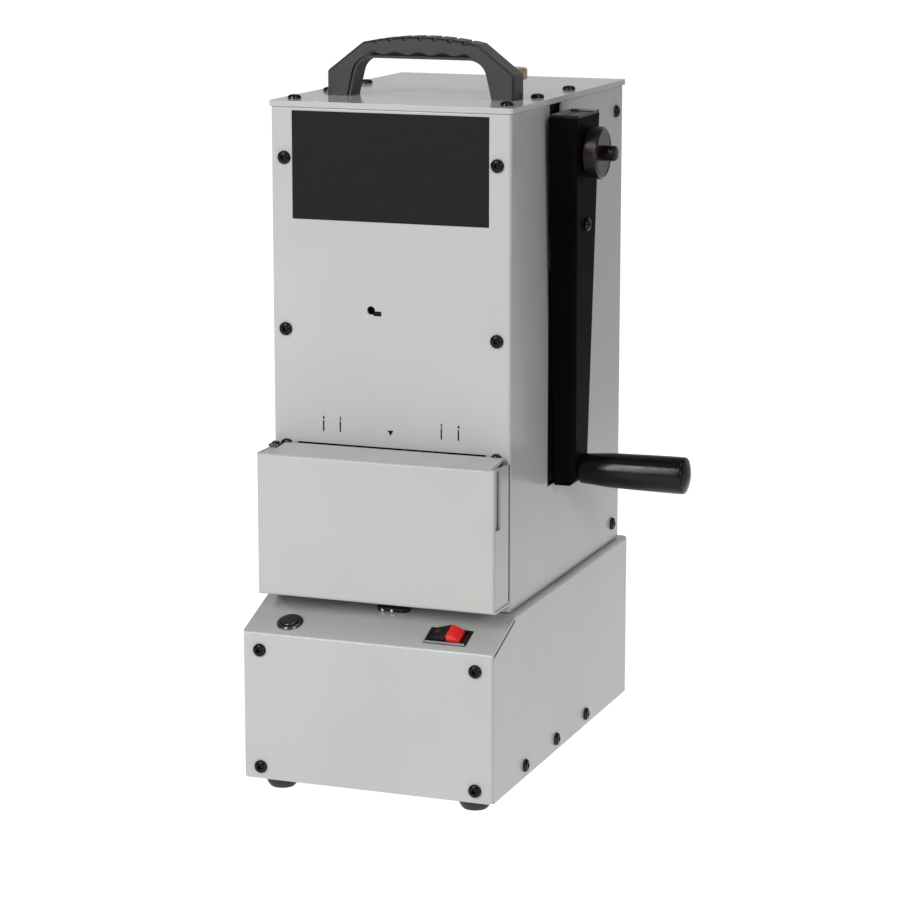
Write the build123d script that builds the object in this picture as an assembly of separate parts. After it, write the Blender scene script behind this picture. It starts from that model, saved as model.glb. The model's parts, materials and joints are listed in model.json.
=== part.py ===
from build123d import *
import os
from math import acos, atan2, ceil, cos, degrees, hypot, pi, radians, sin, tan

# Hard drive crusher: a bench press in a sheet steel cabinet, worked by a motor or by its side crank.
# Millimetres, X to the right, Y to the back, Z up. The model is drawn with the cabinet's front face at
# Y zero and its middle at X zero, standing on Z zero, and is moved to the middle of its box at the end.

# Sheet metal
sheet = 1.6
bend = 2.4
seam = 1.0
overrun = 5.0

# Fits
running_gap = 0.05
guide_gap = 0.1
loose_gap = 0.3
hole_play = 0.3

# Button head screws
screw_radius = 2.5
screw_head_radius = 4.75
screw_head_height = 2.75
screw_rim_height = 0.9
screw_socket_flats = 3.2
screw_socket_depth = 1.6
screw_reach = 9.0

# Base box
foot_height = 10.0
foot_radius = 12.0
foot_bulge_radius = 11.5
foot_bulge_height = 4.6
foot_waist_radius = 9.2
foot_washer_height = 1.5
foot_inset_x = 20.5
foot_inset_y = 21.0
foot_screw_radius = 2.5
foot_screw_reach = 6.0
base_width = 188.0
base_front = 48.0
base_back = 8.0
base_height = 124.6
slope_drop = 17.6
floor_lip = 18.0
floor_lip_gap = 0.2
base_screw_inset_x = 13.0
base_screw_low = 8.8
base_screw_high = 94.5
post_width = 18.0
post_thickness = 3.0
base_side_screw_first = 20.0
base_side_screw_pitch = 69.0
base_side_screw_count = 3
base_corner_round = 3.0
vent_length = 60.0
vent_height = 3.0
vent_pitch = 8.0
vent_count = 5
wiring_hole_radius = 12.0

# Cabinet
cabinet_width = 178.0
cabinet_height = 348.9
wrap_round = 1.2
plate_thickness = 4.0
plate_overhang_side = 1.5
plate_overhang_front = 1.0
plate_overhang_back = 4.5
plate_corner = 3.0
rear_lip = 22.0
rear_screw_inset = 16.0
rear_screw_low = 14.4
rear_screw_drop = 18.5
front_screw_inset = 10.0
front_screw_heights = (35.5, 156.5, 240.1)
top_screw_places = (19.0, 83.0, 153.0)
label_width = 146.0
label_height = 75.6
label_drop = 2.5
label_thickness = 0.3
sight_hole_radius = 3.0
sight_hole_x = -14.3
sight_hole_drop = 140.1
side_slot_lead = 14.6
side_slot_width = 26.4
side_slot_depth = 274.5
mouth_drop = 236.9
mouth_margin = 2.5

# Press frame
frame_plate = 12.7
frame_gap = 1.2
bed_height = 15.4
bed_hole_radius = 17.0
crossplate = 8.0
back_plate_height = 180.0
head_height = 34.0
head_depth = 96.0
head_front = 30.0
head_lift = 117.4
upper_plate_front = 22.0
upper_plate_thickness = 13.0
upper_plate_low = 227.4
upper_plate_high = 335.4
upper_pad_width = 40.0

# Drive support tray
tray_width = 118.0
tray_thickness = 6.0
tray_rail_height = 9.0
tray_rail_width = 7.5
tray_front = 8.0

# Crank shaft, gears and ram
crank_y = 95.0
crank_drop = 34.5
crank_shaft_radius = 8.0
gear_module = 2.25
pinion_teeth = 16
gear_teeth = 48
gear_width = 12.0
gear_inset = 8.0
gear_hub_radius = 18.0
gear_hub_length = 10.0
gear_window_radius = 9.0
gear_window_count = 6
gear_back_gap = 13.35
gear_shaft_radius = 10.0
rack_module = 3.0
rack_teeth = 12
rack_width = 24.0
pressure_angle = 25.0
backlash = 0.14
ram_width = 26.0
ram_depth = 28.0
ram_travel = 42.0
ram_low = 75.4
ram_length = 226.0
punch_shank_radius = 8.0
punch_shank_length = 14.0
punch_radius = 12.0
punch_length = 9.0
punch_tip_radius = 3.0
punch_cone = 11.0
bush_radius = 13.0
bush_flange_radius = 16.0
bush_flange = 2.0
flag_thickness = 2.0
flag_width = 14.0
flag_height = 16.0
flag_front = 7.0

# Gearmotor and belt
motor_back_gap = 19.8
motor_plate = 6.0
gearbox_width = 66.0
gearbox_depth = 58.0
gearbox_height = 70.0
gearbox_x = 8.0
worm_offset = 4.4
motor_drop = 133.5
motor_radius = 27.0
motor_length = 112.0
motor_neck_radius = 21.0
motor_neck_length = 8.0
output_radius = 7.0
pulley_radius = 20.0
pulley_rim_radius = 23.0
pulley_width = 14.0
pulley_rim = 1.5
pulley_inset = 9.0
belt_thickness = 2.0
belt_width = 10.0

# Crank lever
lever_gap = 0.55
lever_top_width = 54.5
lever_low_width = 29.0
lever_top_depth = 20.8
lever_low_depth = 15.9
lever_head = 26.0
lever_reach = 228.5
lever_tail = 10.8
lever_wall = 3.0
lever_bend = 3.0
lever_chamfer = 4.0
lever_lean = 5.0
hub_radius = 15.0
lever_screw_drop = 51.0
knob_collar_radius = 12.0
knob_collar_length = 0.7
knob_radius = 18.5
knob_width = 11.0
knob_chamfer = 1.4
stud_radius = 5.5
stud_length = 9.1
grip_length = 78.3
grip_root_radius = 10.9
grip_swell_radius = 12.7
grip_swell_share = 0.4
grip_end_radius = 13.3
grip_dome = 2.2
grip_rim = 2.5
grip_gap = 0.4
spindle_radius = 4.0
spindle_head_radius = 6.5
spindle_head_height = 4.0
spindle_reach = 60.0

# Door
door_height = 102.0
door_lift = 6.4
door_depth = 29.0
door_gap = 3.0
door_notch_height = 43.5
door_tab_gap = 3.0
door_tab_width = 15.0
door_notch_depth = 10.0
door_notch_front = 2.2
door_slit = 2.2
door_low_slit = 0.8
door_flare = 3.0
door_side_drop = 1.6
door_clip_depth = 2.0
hinge_inset_x = 4.0
hinge_front = 6.5
hinge_pin_radius = 1.6
hinge_pin_reach = 5.0
hinge_head_radius = 3.0
hinge_head_height = 1.6
hinge_leaf_thickness = 1.8
hinge_leaf_gap = 0.5
hinge_leaf_margin = 3.8
hinge_root_width = 4.4

# Door latch under the door
latch_width = 24.0
latch_depth = 9.0
latch_height = 3.4
latch_x = 5.0
latch_pin_radius = 1.1
latch_pin_height = 0.7
latch_pin_spread = 3.6
latch_front = 6.5

# Start button
button_inset = 30.3
button_front = 33.5
button_radius = 9.5
button_flange = 2.0
button_thread_radius = 8.0
button_body_length = 22.0
button_cap_radius = 6.2
button_cap_proud = 0.9
button_cap_length = 8.0
button_travel = 1.5
button_nut_radius = 11.0
button_nut_height = 3.5

# Power switch
switch_inset = 38.6
switch_front = 32.7
switch_length = 31.5
switch_width = 18.5
switch_flange = 1.8
switch_chamfer = 1.2
switch_body_margin = 2.0
switch_body_depth = 20.0
switch_window_length = 25.6
switch_window_width = 14.0
rocker_left = 12.0
rocker_right = 10.5
rocker_ridge = 1.0
rocker_ridge_height = 4.6
rocker_left_height = 0.5
rocker_depth = 4.0
rocker_pivot_depth = 3.0
rocker_pivot_radius = 1.0
rocker_gap = 0.4
rocker_pocket_depth = 10.0

# Carry handle
handle_x = 3.0
handle_y = 60.5
handle_depth = 21.0
handle_height = 42.6
handle_shoulder = 17.5
handle_bend_x = 43.0
handle_bend_z = 38.2
handle_leg = 17.0
handle_rim = 2.2
handle_rim_step = 1.6
handle_gap_height = 27.0
handle_gap_half = 46.5
handle_gap_fillet = 13.0
handle_fillet = 3.0
handle_round = 3.0
ridge_count = 8
ridge_pitch = 11.2
ridge_gap_radius = 1.3
ridge_dimple_radius = 2.2
handle_screw_inset = 8.5
handle_screw_side_gap = 2.5
handle_screw_radius = 3.5
handle_screw_head_radius = 6.5
handle_screw_head_height = 4.0
handle_screw_reach = 12.0

# Oil filler
filler_inset = 13.0
filler_y = 83.0
filler_ring_radius = 8.0
filler_ring_height = 8.0
filler_bore_radius = 5.0
filler_neck_radius = 4.5
filler_neck_height = 4.5
filler_cap_radius = 10.8
filler_cap_height = 8.0
filler_chamfer = 0.8
filler_pipe_radius = 6.0
filler_pipe_length = 14.0

# Power inlet and electronics in the base
inlet_inset = 38.0
inlet_z = 62.0
inlet_width = 50.0
inlet_height = 24.0
inlet_flange = 3.0
inlet_screw_spread = 20.0
inlet_body_width = 28.0
inlet_body_height = 20.0
inlet_body_depth = 24.0
inlet_socket_width = 24.0
inlet_socket_height = 16.0
inlet_socket_depth = 17.0
inlet_corner = 5.0
inlet_pin_width = 2.0
inlet_pin_height = 6.0
inlet_pin_length = 13.0
inlet_pin_spread = 7.0
inlet_pin_rise = 3.0
supply_length = 150.0
supply_side_margin = 17.0
supply_height = 42.0
supply_y = 120.0
supply_slot_width = 3.0
supply_slot_length = 26.0
supply_slot_pitch = 9.0
supply_slot_count = 8
board_length = 120.0
board_side_margin = 13.0
board_middle = 11.0
bay_gap = 10.0
board_thickness = 1.6
board_y = 90.0
standoff_height = 8.0
standoff_radius = 3.0
standoff_inset = 5.0
relay_width = 16.0
relay_length = 20.0
relay_height = 15.0
relay_count = 3
relay_pitch = 24.0
capacitor_radius = 9.0
capacitor_height = 24.0

# Places worked out from the sizes above. The gears set the press frame's depth, and the frame and the
# gearmotor behind it set the cabinet's depth.
frame_front_y = sheet
frame_rear_y = crank_y + gear_module * (gear_teeth / 2 + 1) + gear_back_gap
gearbox_front_y = frame_rear_y + motor_plate
motor_y = gearbox_front_y + gearbox_depth / 2 + worm_offset
cabinet_depth = gearbox_front_y + gearbox_depth + motor_back_gap + sheet
side_slot_front = crank_y - side_slot_lead
base_half = base_width / 2
base_floor_z = foot_height
deck_z = foot_height + base_height
nose_z = deck_z - slope_drop
base_rear_y = cabinet_depth + base_back
slope_angle = degrees(atan2(slope_drop, base_front))
floor_top_z = base_floor_z + sheet

slope_sheet_drop = sheet / cos(radians(slope_angle))
button_x = button_inset - base_half
switch_x = base_half - switch_inset
inlet_x = inlet_inset - base_half
board_width = base_half - board_side_margin - board_middle
board_x = -board_middle - board_width / 2
supply_width = base_half - supply_side_margin + board_middle - bay_gap
supply_x = base_half - supply_side_margin - supply_width / 2

cabinet_half = cabinet_width / 2
cabinet_top_z = deck_z + cabinet_height
plate_top_z = cabinet_top_z + plate_thickness
frame_outer = cabinet_half - sheet - frame_gap
frame_inner = frame_outer - frame_plate
mouth_half = frame_inner - mouth_margin
bed_top_z = deck_z + bed_height
back_plate_front_y = frame_rear_y - crossplate
mouth_top_z = cabinet_top_z - mouth_drop
front_screw_x = cabinet_half - front_screw_inset

crank_z = cabinet_top_z - crank_drop
pinion_pitch_radius = gear_module * pinion_teeth / 2
gear_pitch_radius = gear_module * gear_teeth / 2
gear_y = crank_y
gear_z = crank_z - pinion_pitch_radius - gear_pitch_radius
gear_x0 = frame_inner - gear_inset - gear_width
gear_x1 = frame_inner - gear_inset
rack_pitch_radius = rack_module * rack_teeth / 2
rack_line_y = gear_y - rack_pitch_radius
ram_back_y = rack_line_y + rack_module
ram_front_y = ram_back_y - ram_depth
ram_y = (ram_front_y + ram_back_y) / 2
ram_low_z = bed_top_z + ram_low
ram_top_z = ram_low_z + ram_length
ram_half = ram_width / 2
head_low_z = deck_z + head_lift
head_top_z = head_low_z + head_height
upper_low_z = deck_z + upper_plate_low
upper_high_z = deck_z + upper_plate_high
sight_z = cabinet_top_z - sight_hole_drop

motor_z = cabinet_top_z - motor_drop
pulley_x0 = -frame_inner + pulley_inset
pulley_x1 = pulley_x0 + pulley_width
gearbox_x0 = gearbox_x - gearbox_width / 2
gearbox_x1 = gearbox_x + gearbox_width / 2
gearbox_low_z = motor_z - gearbox_height / 2
gearbox_top_z = motor_z + gearbox_height / 2

lever_x0 = cabinet_half + screw_head_height + lever_gap
lever_x1 = lever_x0 + lever_top_depth
lever_low_x1 = lever_x0 + lever_low_depth
lever_top_z = crank_z + lever_head
lever_low_z = crank_z - lever_reach - lever_tail
grip_y = crank_y + lever_lean
grip_z = crank_z - lever_reach
knob_x0 = lever_x1
knob_disc_x0 = knob_x0 + knob_collar_length
knob_x1 = knob_disc_x0 + knob_width
stud_end_x = knob_x1 + stud_length

door_low_z = deck_z + door_lift
door_top_z = door_low_z + door_height
door_back_y = -door_gap
door_front_y = door_back_y - door_depth
hinge_x = -cabinet_half + hinge_inset_x
hinge_y = -hinge_front
hinge_upper_z = door_top_z + hinge_leaf_gap
hinge_lower_z = door_low_z - hinge_leaf_gap
flare_x0 = hinge_x + hypot(hinge_inset_x, hinge_leaf_margin) + loose_gap
flare_x1 = cabinet_half - sheet - door_slit

handle_half = frame_inner - handle_screw_side_gap - handle_screw_head_radius + handle_screw_inset - handle_x
filler_x = handle_x + handle_half - filler_inset
handle_crown = handle_height - handle_bend_z
handle_crown_radius = (handle_bend_x ** 2 + handle_crown ** 2) / (2 * handle_crown)


def web_x(z):
    """Outer face of the lever's web, which leans in towards its lower end."""
    return lever_low_x1 + (lever_x1 - lever_low_x1) * (z - lever_low_z) / (lever_top_z - lever_low_z)


def lever_centre_y(z):
    """Middle of the lever, which leans back towards its lower end."""
    return crank_y + lever_lean * (crank_z - z) / lever_reach


grip_x0 = web_x(grip_z) + grip_gap
grip_x1 = grip_x0 + grip_length
grip_end_x = grip_x1 + grip_dome
front_most_y = -base_front - screw_head_height
rear_most_y = base_rear_y + max(screw_head_height, inlet_flange)
left_most_x = -base_half - screw_head_height
MIDDLE = Pos(-(left_most_x + grip_end_x) / 2, -(front_most_y + rear_most_y) / 2, 0)


def block(x, y, z):
    """A box between two limits on each axis."""
    middle = Pos((x[0] + x[1]) / 2, (y[0] + y[1]) / 2, (z[0] + z[1]) / 2)
    return middle * Box(abs(x[1] - x[0]), abs(y[1] - y[0]), abs(z[1] - z[0]))


def rod_x(radius, x, y, z):
    """A round bar along X."""
    return Pos((x[0] + x[1]) / 2, y, z) * Rot(0, 90, 0) * Cylinder(radius, abs(x[1] - x[0]))


def rod_y(radius, x, y, z):
    """A round bar along Y."""
    return Pos(x, (y[0] + y[1]) / 2, z) * Rot(90, 0, 0) * Cylinder(radius, abs(y[1] - y[0]))


def rod_z(radius, x, y, z):
    """A round bar along Z."""
    return Pos(x, y, (z[0] + z[1]) / 2) * Cylinder(radius, abs(z[1] - z[0]))


def profile_x(points, x):
    """A Y, Z outline carried along X."""
    outline = Plane.YZ.offset(x[0]) * make_face(Polyline(*points, close=True))
    return extrude(outline, amount=x[1] - x[0])


def profile_y(points, y):
    """An X, Z outline carried along Y."""
    outline = Plane.XZ.offset(-y[1]) * make_face(Polyline(*points, close=True))
    return extrude(outline, amount=y[1] - y[0])


def profile_z(points, z):
    """An X, Y outline carried along Z."""
    outline = Plane.XY.offset(z[0]) * make_face(Polyline(*points, close=True))
    return extrude(outline, amount=z[1] - z[0])


def turned(points):
    """A solid turned about Z from an outline of (radius, height)."""
    return revolve(Plane.XZ * make_face(Polyline(*points, close=True)), Axis.Z)


def hexagon(flats, height):
    """A hexagonal bar standing on Z zero."""
    return extrude(RegularPolygon(flats / 2, 6, major_radius=False), amount=height)


def gather(solids):
    """Separate solids kept together as one node."""
    return Compound(children=[solid for part in solids for solid in part.solids()])


def corners(x, y):
    """The four corners of a rectangle about the origin."""
    return [(side_x * x, side_y * y) for side_x in (-1, 1) for side_y in (-1, 1)]


# Which way a screw's head points
TO_FRONT = Rot(90, 0, 0)
TO_BACK = Rot(-90, 0, 0)
TO_RIGHT = Rot(0, 90, 0)
TO_LEFT = Rot(0, -90, 0)
TO_TOP = Rot(0, 0, 0)


def button_screw(reach=screw_reach):
    """A button head screw with its seat on Z zero and a hexagon socket."""
    rim = (screw_head_radius, screw_rim_height)
    crown = (screw_head_radius * cos(radians(45)), screw_head_height)
    head = turned([(0, 0), (screw_head_radius, 0), rim, crown, (0, screw_head_height)])
    socket = Pos(0, 0, screw_head_height - screw_socket_depth) * hexagon(screw_socket_flats, overrun)
    shank = rod_z(screw_radius, 0, 0, (-reach, 0))
    return head + shank - socket


def screws(places, heading, reach=screw_reach):
    """One node of equal screws."""
    return gather([Pos(*place) * heading * button_screw(reach) for place in places])


def slope_z(front):
    """Height of the base's slope, from how far it is in front of the cabinet."""
    return deck_z - slope_drop * front / base_front


def on_slope(x, front):
    """A place on the base's slope, with Z along the slope's normal."""
    height = slope_z(front)
    normal = (0, -sin(radians(slope_angle)), cos(radians(slope_angle)))
    return Plane(origin=(x, -front, height), x_dir=(1, 0, 0), z_dir=normal).location


# Places of the screws
base_front_places = [
    (side * (base_half - base_screw_inset_x), -base_front, base_floor_z + rise)
    for side in (-1, 1)
    for rise in (base_screw_low, base_screw_high)
]
base_side_ys = [base_side_screw_first + base_side_screw_pitch * i for i in range(base_side_screw_count)]
base_side_z = base_floor_z + base_screw_low
front_screw_places = [
    (side * front_screw_x, 0, cabinet_top_z - drop) for side in (-1, 1) for drop in front_screw_heights
]
rear_screw_y = cabinet_depth - rear_screw_inset
rear_screw_zs = (deck_z + rear_screw_low, cabinet_top_z - rear_screw_drop)
top_screw_xs = (-front_screw_x, front_screw_x)
foot_places = [
    (side * (base_half - foot_inset_x), y)
    for side in (-1, 1)
    for y in (-base_front + foot_inset_y, base_rear_y - foot_inset_y)
]
base_rear_screw_places = [
    (side * (base_half - base_screw_inset_x), base_rear_y, base_floor_z + rise)
    for side in (-1, 1)
    for rise in (base_screw_low, base_screw_high)
]


def base_outline(extra):
    """The base's side view, carried past its open bottom and back by extra."""
    low, rear = base_floor_z - extra, base_rear_y + extra
    return [(-base_front, low), (-base_front, nose_z), (0, deck_z), (rear, deck_z), (rear, low)]


def base_shell():
    """Front, slope, deck and sides of the base, folded from one sheet."""
    body = profile_x(base_outline(0), (-base_half, base_half))
    uprights = body.edges().filter_by(Axis.Z).group_by(Axis.Y)[0]
    across = body.edges().filter_by(Axis.X).group_by(Axis.Z)
    long_tops = body.edges().filter_by(Axis.Y).group_by(Axis.Z)[-1]
    body = fillet(uprights + across[1].sort_by(Axis.Y)[:1] + long_tops, bend)
    hollow = offset(make_face(Polyline(*base_outline(overrun), close=True)), -sheet, kind=Kind.INTERSECTION)
    inside = extrude(Plane.YZ.offset(-base_half + sheet) * hollow, amount=base_width - 2 * sheet)
    body -= inside
    for side in (-1, 1):
        edge = side * (base_half - sheet)
        low_end, high_end = slope_z(base_front - bend) - slope_sheet_drop, slope_z(bend) - slope_sheet_drop
        strip = [(-base_front + bend, low_end - seam), (-base_front + bend, low_end), (-bend, high_end),
                 (-bend, high_end - seam)]
        body -= profile_x(strip, sorted((edge, edge + side * overrun)))
        corner_x, corner_z = side * (base_half - base_corner_round), base_floor_z + base_corner_round
        corner_y = (-base_front - overrun, -base_front + bend)
        corner = block(sorted((corner_x, corner_x + side * overrun)), corner_y, (corner_z - overrun, corner_z))
        body -= corner - rod_y(base_corner_round, corner_x, corner_y, corner_z)
        for y in base_side_ys:
            body -= rod_x(screw_radius + hole_play, sorted((edge - side * overrun, edge + side * overrun)), y,
                          base_side_z)
    for x, y, z in base_front_places:
        body -= rod_y(screw_radius + hole_play, x, (y - overrun, y + overrun), z)
    body -= on_slope(button_x, button_front) * Cylinder(button_thread_radius + hole_play, overrun * 2)
    cut_length = switch_length - 2 * switch_body_margin + 2 * hole_play
    cut_width = switch_width - 2 * switch_body_margin + 2 * hole_play
    body -= on_slope(switch_x, switch_front) * Box(cut_length, cut_width, overrun * 2)
    hole_y = (gearbox_front_y + cabinet_depth) / 2
    body -= rod_z(wiring_hole_radius, 0, hole_y, (deck_z - overrun, deck_z + overrun))
    return body


def base_floor():
    """Bottom pan with lips that the front and side screws hold."""
    x = base_half - sheet - floor_lip_gap
    y0, y1 = -base_front + sheet + floor_lip_gap, base_rear_y - sheet - floor_lip_gap
    pan = block((-x, x), (y0, y1), (base_floor_z, base_floor_z + floor_lip))
    pan -= block((-x + sheet, x - sheet), (y0 + sheet, y1 - sheet), (floor_top_z, floor_top_z + floor_lip))
    for px, py, pz in base_front_places:
        pan -= rod_y(screw_radius, px, (py, py + overrun * 2), pz)
    for px, py, pz in base_rear_screw_places:
        pan -= rod_y(screw_radius, px, (py - overrun * 2, py), pz)
    for side in (-1, 1):
        for y in base_side_ys:
            pan -= rod_x(screw_radius, sorted((side * x, side * (x - overrun))), y, base_side_z)
    for fx, fy in foot_places:
        pan -= rod_z(foot_screw_radius, fx, fy, (base_floor_z - overrun, base_floor_z + overrun))
    return pan


def corner_posts():
    """Angle posts behind the four upright corners of the base."""
    posts = []
    x_out = base_half - sheet - floor_lip_gap
    low, high = base_floor_z + floor_lip + loose_gap, base_floor_z + base_screw_high + screw_head_radius
    for side in (-1, 1):
        for face_y, way in ((-base_front + sheet + floor_lip_gap, 1), (base_rear_y - sheet - floor_lip_gap, -1)):
            outline = [
                (side * x_out, face_y),
                (side * (x_out - post_width), face_y),
                (side * (x_out - post_width), face_y + way * post_thickness),
                (side * (x_out - post_thickness), face_y + way * post_thickness),
                (side * (x_out - post_thickness), face_y + way * post_width),
                (side * x_out, face_y + way * post_width),
            ]
            post = profile_z(outline, (low, high))
            hole_x = side * (base_half - base_screw_inset_x)
            hole_y = sorted((face_y - way * overrun, face_y + way * overrun))
            posts.append(post - rod_y(screw_radius, hole_x, hole_y, base_floor_z + base_screw_high))
    return gather(posts)


def base_rear_panel():
    """Flat rear cover of the base with vents and the inlet's hole."""
    x = base_half - sheet - floor_lip_gap
    y = (base_rear_y - sheet, base_rear_y)
    panel = block((-x, x), y, (base_floor_z, deck_z - sheet - floor_lip_gap))
    cut_y = (y[0] - overrun, y[1] + overrun)
    half_w, half_h = inlet_body_width / 2 + hole_play, inlet_body_height / 2 + hole_play
    panel -= block((inlet_x - half_w, inlet_x + half_w), cut_y, (inlet_z - half_h, inlet_z + half_h))
    for side in (-1, 1):
        panel -= rod_y(screw_radius, inlet_x + side * inlet_screw_spread, cut_y, inlet_z)
    for i in range(vent_count):
        z = inlet_z + vent_pitch * (i - (vent_count - 1) / 2)
        slot = Pos(-inlet_x, base_rear_y, z) * Rot(90, 0, 0) * extrude(
            SlotOverall(vent_length, vent_height), amount=overrun, both=True)
        panel -= slot
    for px, py, pz in base_rear_screw_places:
        panel -= rod_y(screw_radius + hole_play, px, cut_y, pz)
    return panel


def rubber_feet():
    """Four turned rubber feet, each round a steel washer seat."""
    well = foot_radius / 2
    outline = [
        (foot_screw_radius, foot_height - foot_washer_height),
        (well, foot_height - foot_washer_height),
        (well, 0),
        (foot_waist_radius, 0),
        (foot_bulge_radius, foot_bulge_height),
        (foot_radius, foot_height),
        (foot_screw_radius, foot_height),
    ]
    return gather([Pos(x, y, 0) * turned(outline) for x, y in foot_places])


def foot_screws():
    """Pan head screws that hold the feet to the base's floor."""
    head_low = foot_height - foot_washer_height - foot_screw_radius
    solids = []
    for x, y in foot_places:
        head = rod_z(foot_screw_radius * 1.8, x, y, (head_low, foot_height - foot_washer_height))
        solids.append(head + rod_z(foot_screw_radius, x, y, (head_low, foot_height + foot_screw_reach)))
    return gather(solids)


def base_screws():
    """Front, rear and side screws of the base."""
    solids = [screws(base_front_places, TO_FRONT, post_thickness + sheet + loose_gap)]
    solids.append(screws(base_rear_screw_places, TO_BACK, post_thickness + sheet + loose_gap))
    for side, heading in ((-1, TO_LEFT), (1, TO_RIGHT)):
        places = [(side * base_half, y, base_side_z) for y in base_side_ys]
        solids.append(screws(places, heading, sheet * 2 + loose_gap))
    return gather(solids)


def cabinet_wrap():
    """Front and both sides of the cabinet, folded from one sheet."""
    z = (deck_z, cabinet_top_z)
    wrap = block((-cabinet_half, cabinet_half), (0, cabinet_depth), z)
    wrap = fillet(wrap.edges().filter_by(Axis.Z).group_by(Axis.Y)[0], bend)
    rim = [edge for edge in wrap.edges().group_by(Axis.Z)[-1] if edge.center().Y < cabinet_depth - bend]
    wrap = fillet(rim, wrap_round)
    inner = cabinet_half - sheet
    tall = (deck_z - overrun, cabinet_top_z + overrun)
    inside = block((-inner, inner), (sheet, cabinet_depth + overrun), tall)
    inside = fillet(inside.edges().filter_by(Axis.Z).group_by(Axis.Y)[0], bend - sheet)
    wrap -= inside
    wrap -= block((-mouth_half, mouth_half), (-overrun, overrun), (deck_z - overrun, mouth_top_z))
    slot_y = (side_slot_front, side_slot_front + side_slot_width)
    wrap -= block((inner - overrun, cabinet_half + overrun), slot_y,
                  (cabinet_top_z - side_slot_depth, cabinet_top_z + overrun))
    for x, y, screw_z in front_screw_places:
        wrap -= rod_y(screw_radius + hole_play, x, (-overrun, overrun), screw_z)
    for side in (-1, 1):
        for screw_z in rear_screw_zs:
            x = sorted((side * (inner - overrun), side * (inner + overrun)))
            wrap -= rod_x(screw_radius + hole_play, x, rear_screw_y, screw_z)
    wrap -= rod_y(sight_hole_radius, sight_hole_x, (-overrun, overrun), sight_z)
    return wrap


def cabinet_rear_panel():
    """Rear cover of the cabinet, with side lips inside the wrap."""
    x = cabinet_half - sheet - floor_lip_gap
    y0, y1 = cabinet_depth - rear_lip, cabinet_depth
    z = (deck_z, cabinet_top_z)
    panel = block((-x, x), (y0, y1), z)
    panel -= block((-x + sheet, x - sheet), (y0 - overrun, y1 - sheet), (z[0] - overrun, z[1] + overrun))
    for side in (-1, 1):
        for screw_z in rear_screw_zs:
            panel -= rod_x(screw_radius, sorted((side * x, side * (x - overrun))), rear_screw_y, screw_z)
    for i in range(vent_count):
        vent_z = motor_z + vent_pitch * (i - (vent_count - 1) / 2)
        panel -= Pos(0, cabinet_depth, vent_z) * Rot(90, 0, 0) * extrude(
            SlotOverall(vent_length, vent_height), amount=overrun, both=True)
    return panel


def top_plate():
    """Flat lid plate, a little wider than the cabinet."""
    x = cabinet_half + plate_overhang_side
    y = (-plate_overhang_front, cabinet_depth + plate_overhang_back)
    z = (cabinet_top_z, plate_top_z)
    plate = block((-x, x), y, z)
    plate = fillet(plate.edges().filter_by(Axis.Z), plate_corner)
    through = (z[0] - overrun, z[1] + overrun)
    for screw_x in top_screw_xs:
        for screw_y in top_screw_places:
            plate -= rod_z(screw_radius + hole_play, screw_x, screw_y, through)
    for side in (-1, 1):
        screw_x = handle_x + side * (handle_half - handle_screw_inset)
        plate -= rod_z(handle_screw_radius, screw_x, handle_y, through)
    plate -= rod_z(filler_pipe_radius, filler_x, filler_y, through)
    return plate


def cabinet_screws():
    """Screws of the front and sides of the cabinet."""
    solids = [screws(front_screw_places, TO_FRONT)]
    for side, heading in ((-1, TO_LEFT), (1, TO_RIGHT)):
        places = [(side * cabinet_half, rear_screw_y, z) for z in rear_screw_zs]
        solids.append(screws(places, heading, sheet * 2 + loose_gap))
    return gather(solids)


def top_screws():
    """Screws that hold the lid plate to the press frame."""
    places = [(x, y, plate_top_z) for x in top_screw_xs for y in top_screw_places]
    return screws(places, TO_TOP, screw_reach + plate_thickness)


def label_plate():
    """Bare black plate on the cabinet's front."""
    high = cabinet_top_z - label_drop
    return block((-label_width / 2, label_width / 2), (-label_thickness, 0), (high - label_height, high))


def frame_side(side):
    """One thick side plate of the press frame, with its shaft bores and tapped holes."""
    plate = block(sorted((side * frame_inner, side * frame_outer)), (frame_front_y, frame_rear_y),
                  (deck_z, cabinet_top_z))
    across = sorted((side * (frame_inner - overrun), side * (frame_outer + overrun)))
    for z in (crank_z, gear_z):
        plate -= rod_x(bush_radius, across, crank_y, z)
    for x, y, z in front_screw_places:
        if x * side > 0:
            plate -= rod_y(screw_radius, x, (frame_front_y - overrun, screw_reach), z)
    for y in top_screw_places:
        plate -= rod_z(screw_radius, side * front_screw_x, y, (cabinet_top_z - screw_reach, cabinet_top_z + overrun))
    return plate


def frame_plate_left():
    return frame_side(-1)


def frame_plate_right():
    return frame_side(1)


def bed_plate():
    """Anvil plate under the drive, bored under the punch."""
    bed = block((-frame_inner, frame_inner), (frame_front_y, back_plate_front_y), (deck_z, bed_top_z))
    return bed - rod_z(bed_hole_radius, 0, ram_y, (deck_z - overrun, bed_top_z + overrun))


def back_plate():
    """Rear cross plate of the press frame, which also stops the drive."""
    return block((-frame_inner, frame_inner), (back_plate_front_y, frame_rear_y),
                 (deck_z, deck_z + back_plate_height))


def head_block():
    """Cross head above the mouth, with the ram's square guide."""
    head = block((-frame_inner, frame_inner), (head_front, head_front + head_depth), (head_low_z, head_top_z))
    bore_x = (-ram_half - guide_gap, ram_half + guide_gap)
    bore_y = (ram_front_y - guide_gap, ram_back_y + guide_gap)
    head -= block(bore_x, bore_y, (head_low_z - overrun, head_top_z + overrun))
    return head


def upper_guide():
    """Front cross plate with the pad that backs the ram against the rack pinion."""
    y = (upper_plate_front, upper_plate_front + upper_plate_thickness)
    plate = block((-frame_inner, frame_inner), y, (upper_low_z, upper_high_z))
    pad = block((-upper_pad_width / 2, upper_pad_width / 2), (y[1], ram_front_y - guide_gap),
                (upper_low_z, upper_high_z))
    return plate + pad


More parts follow.
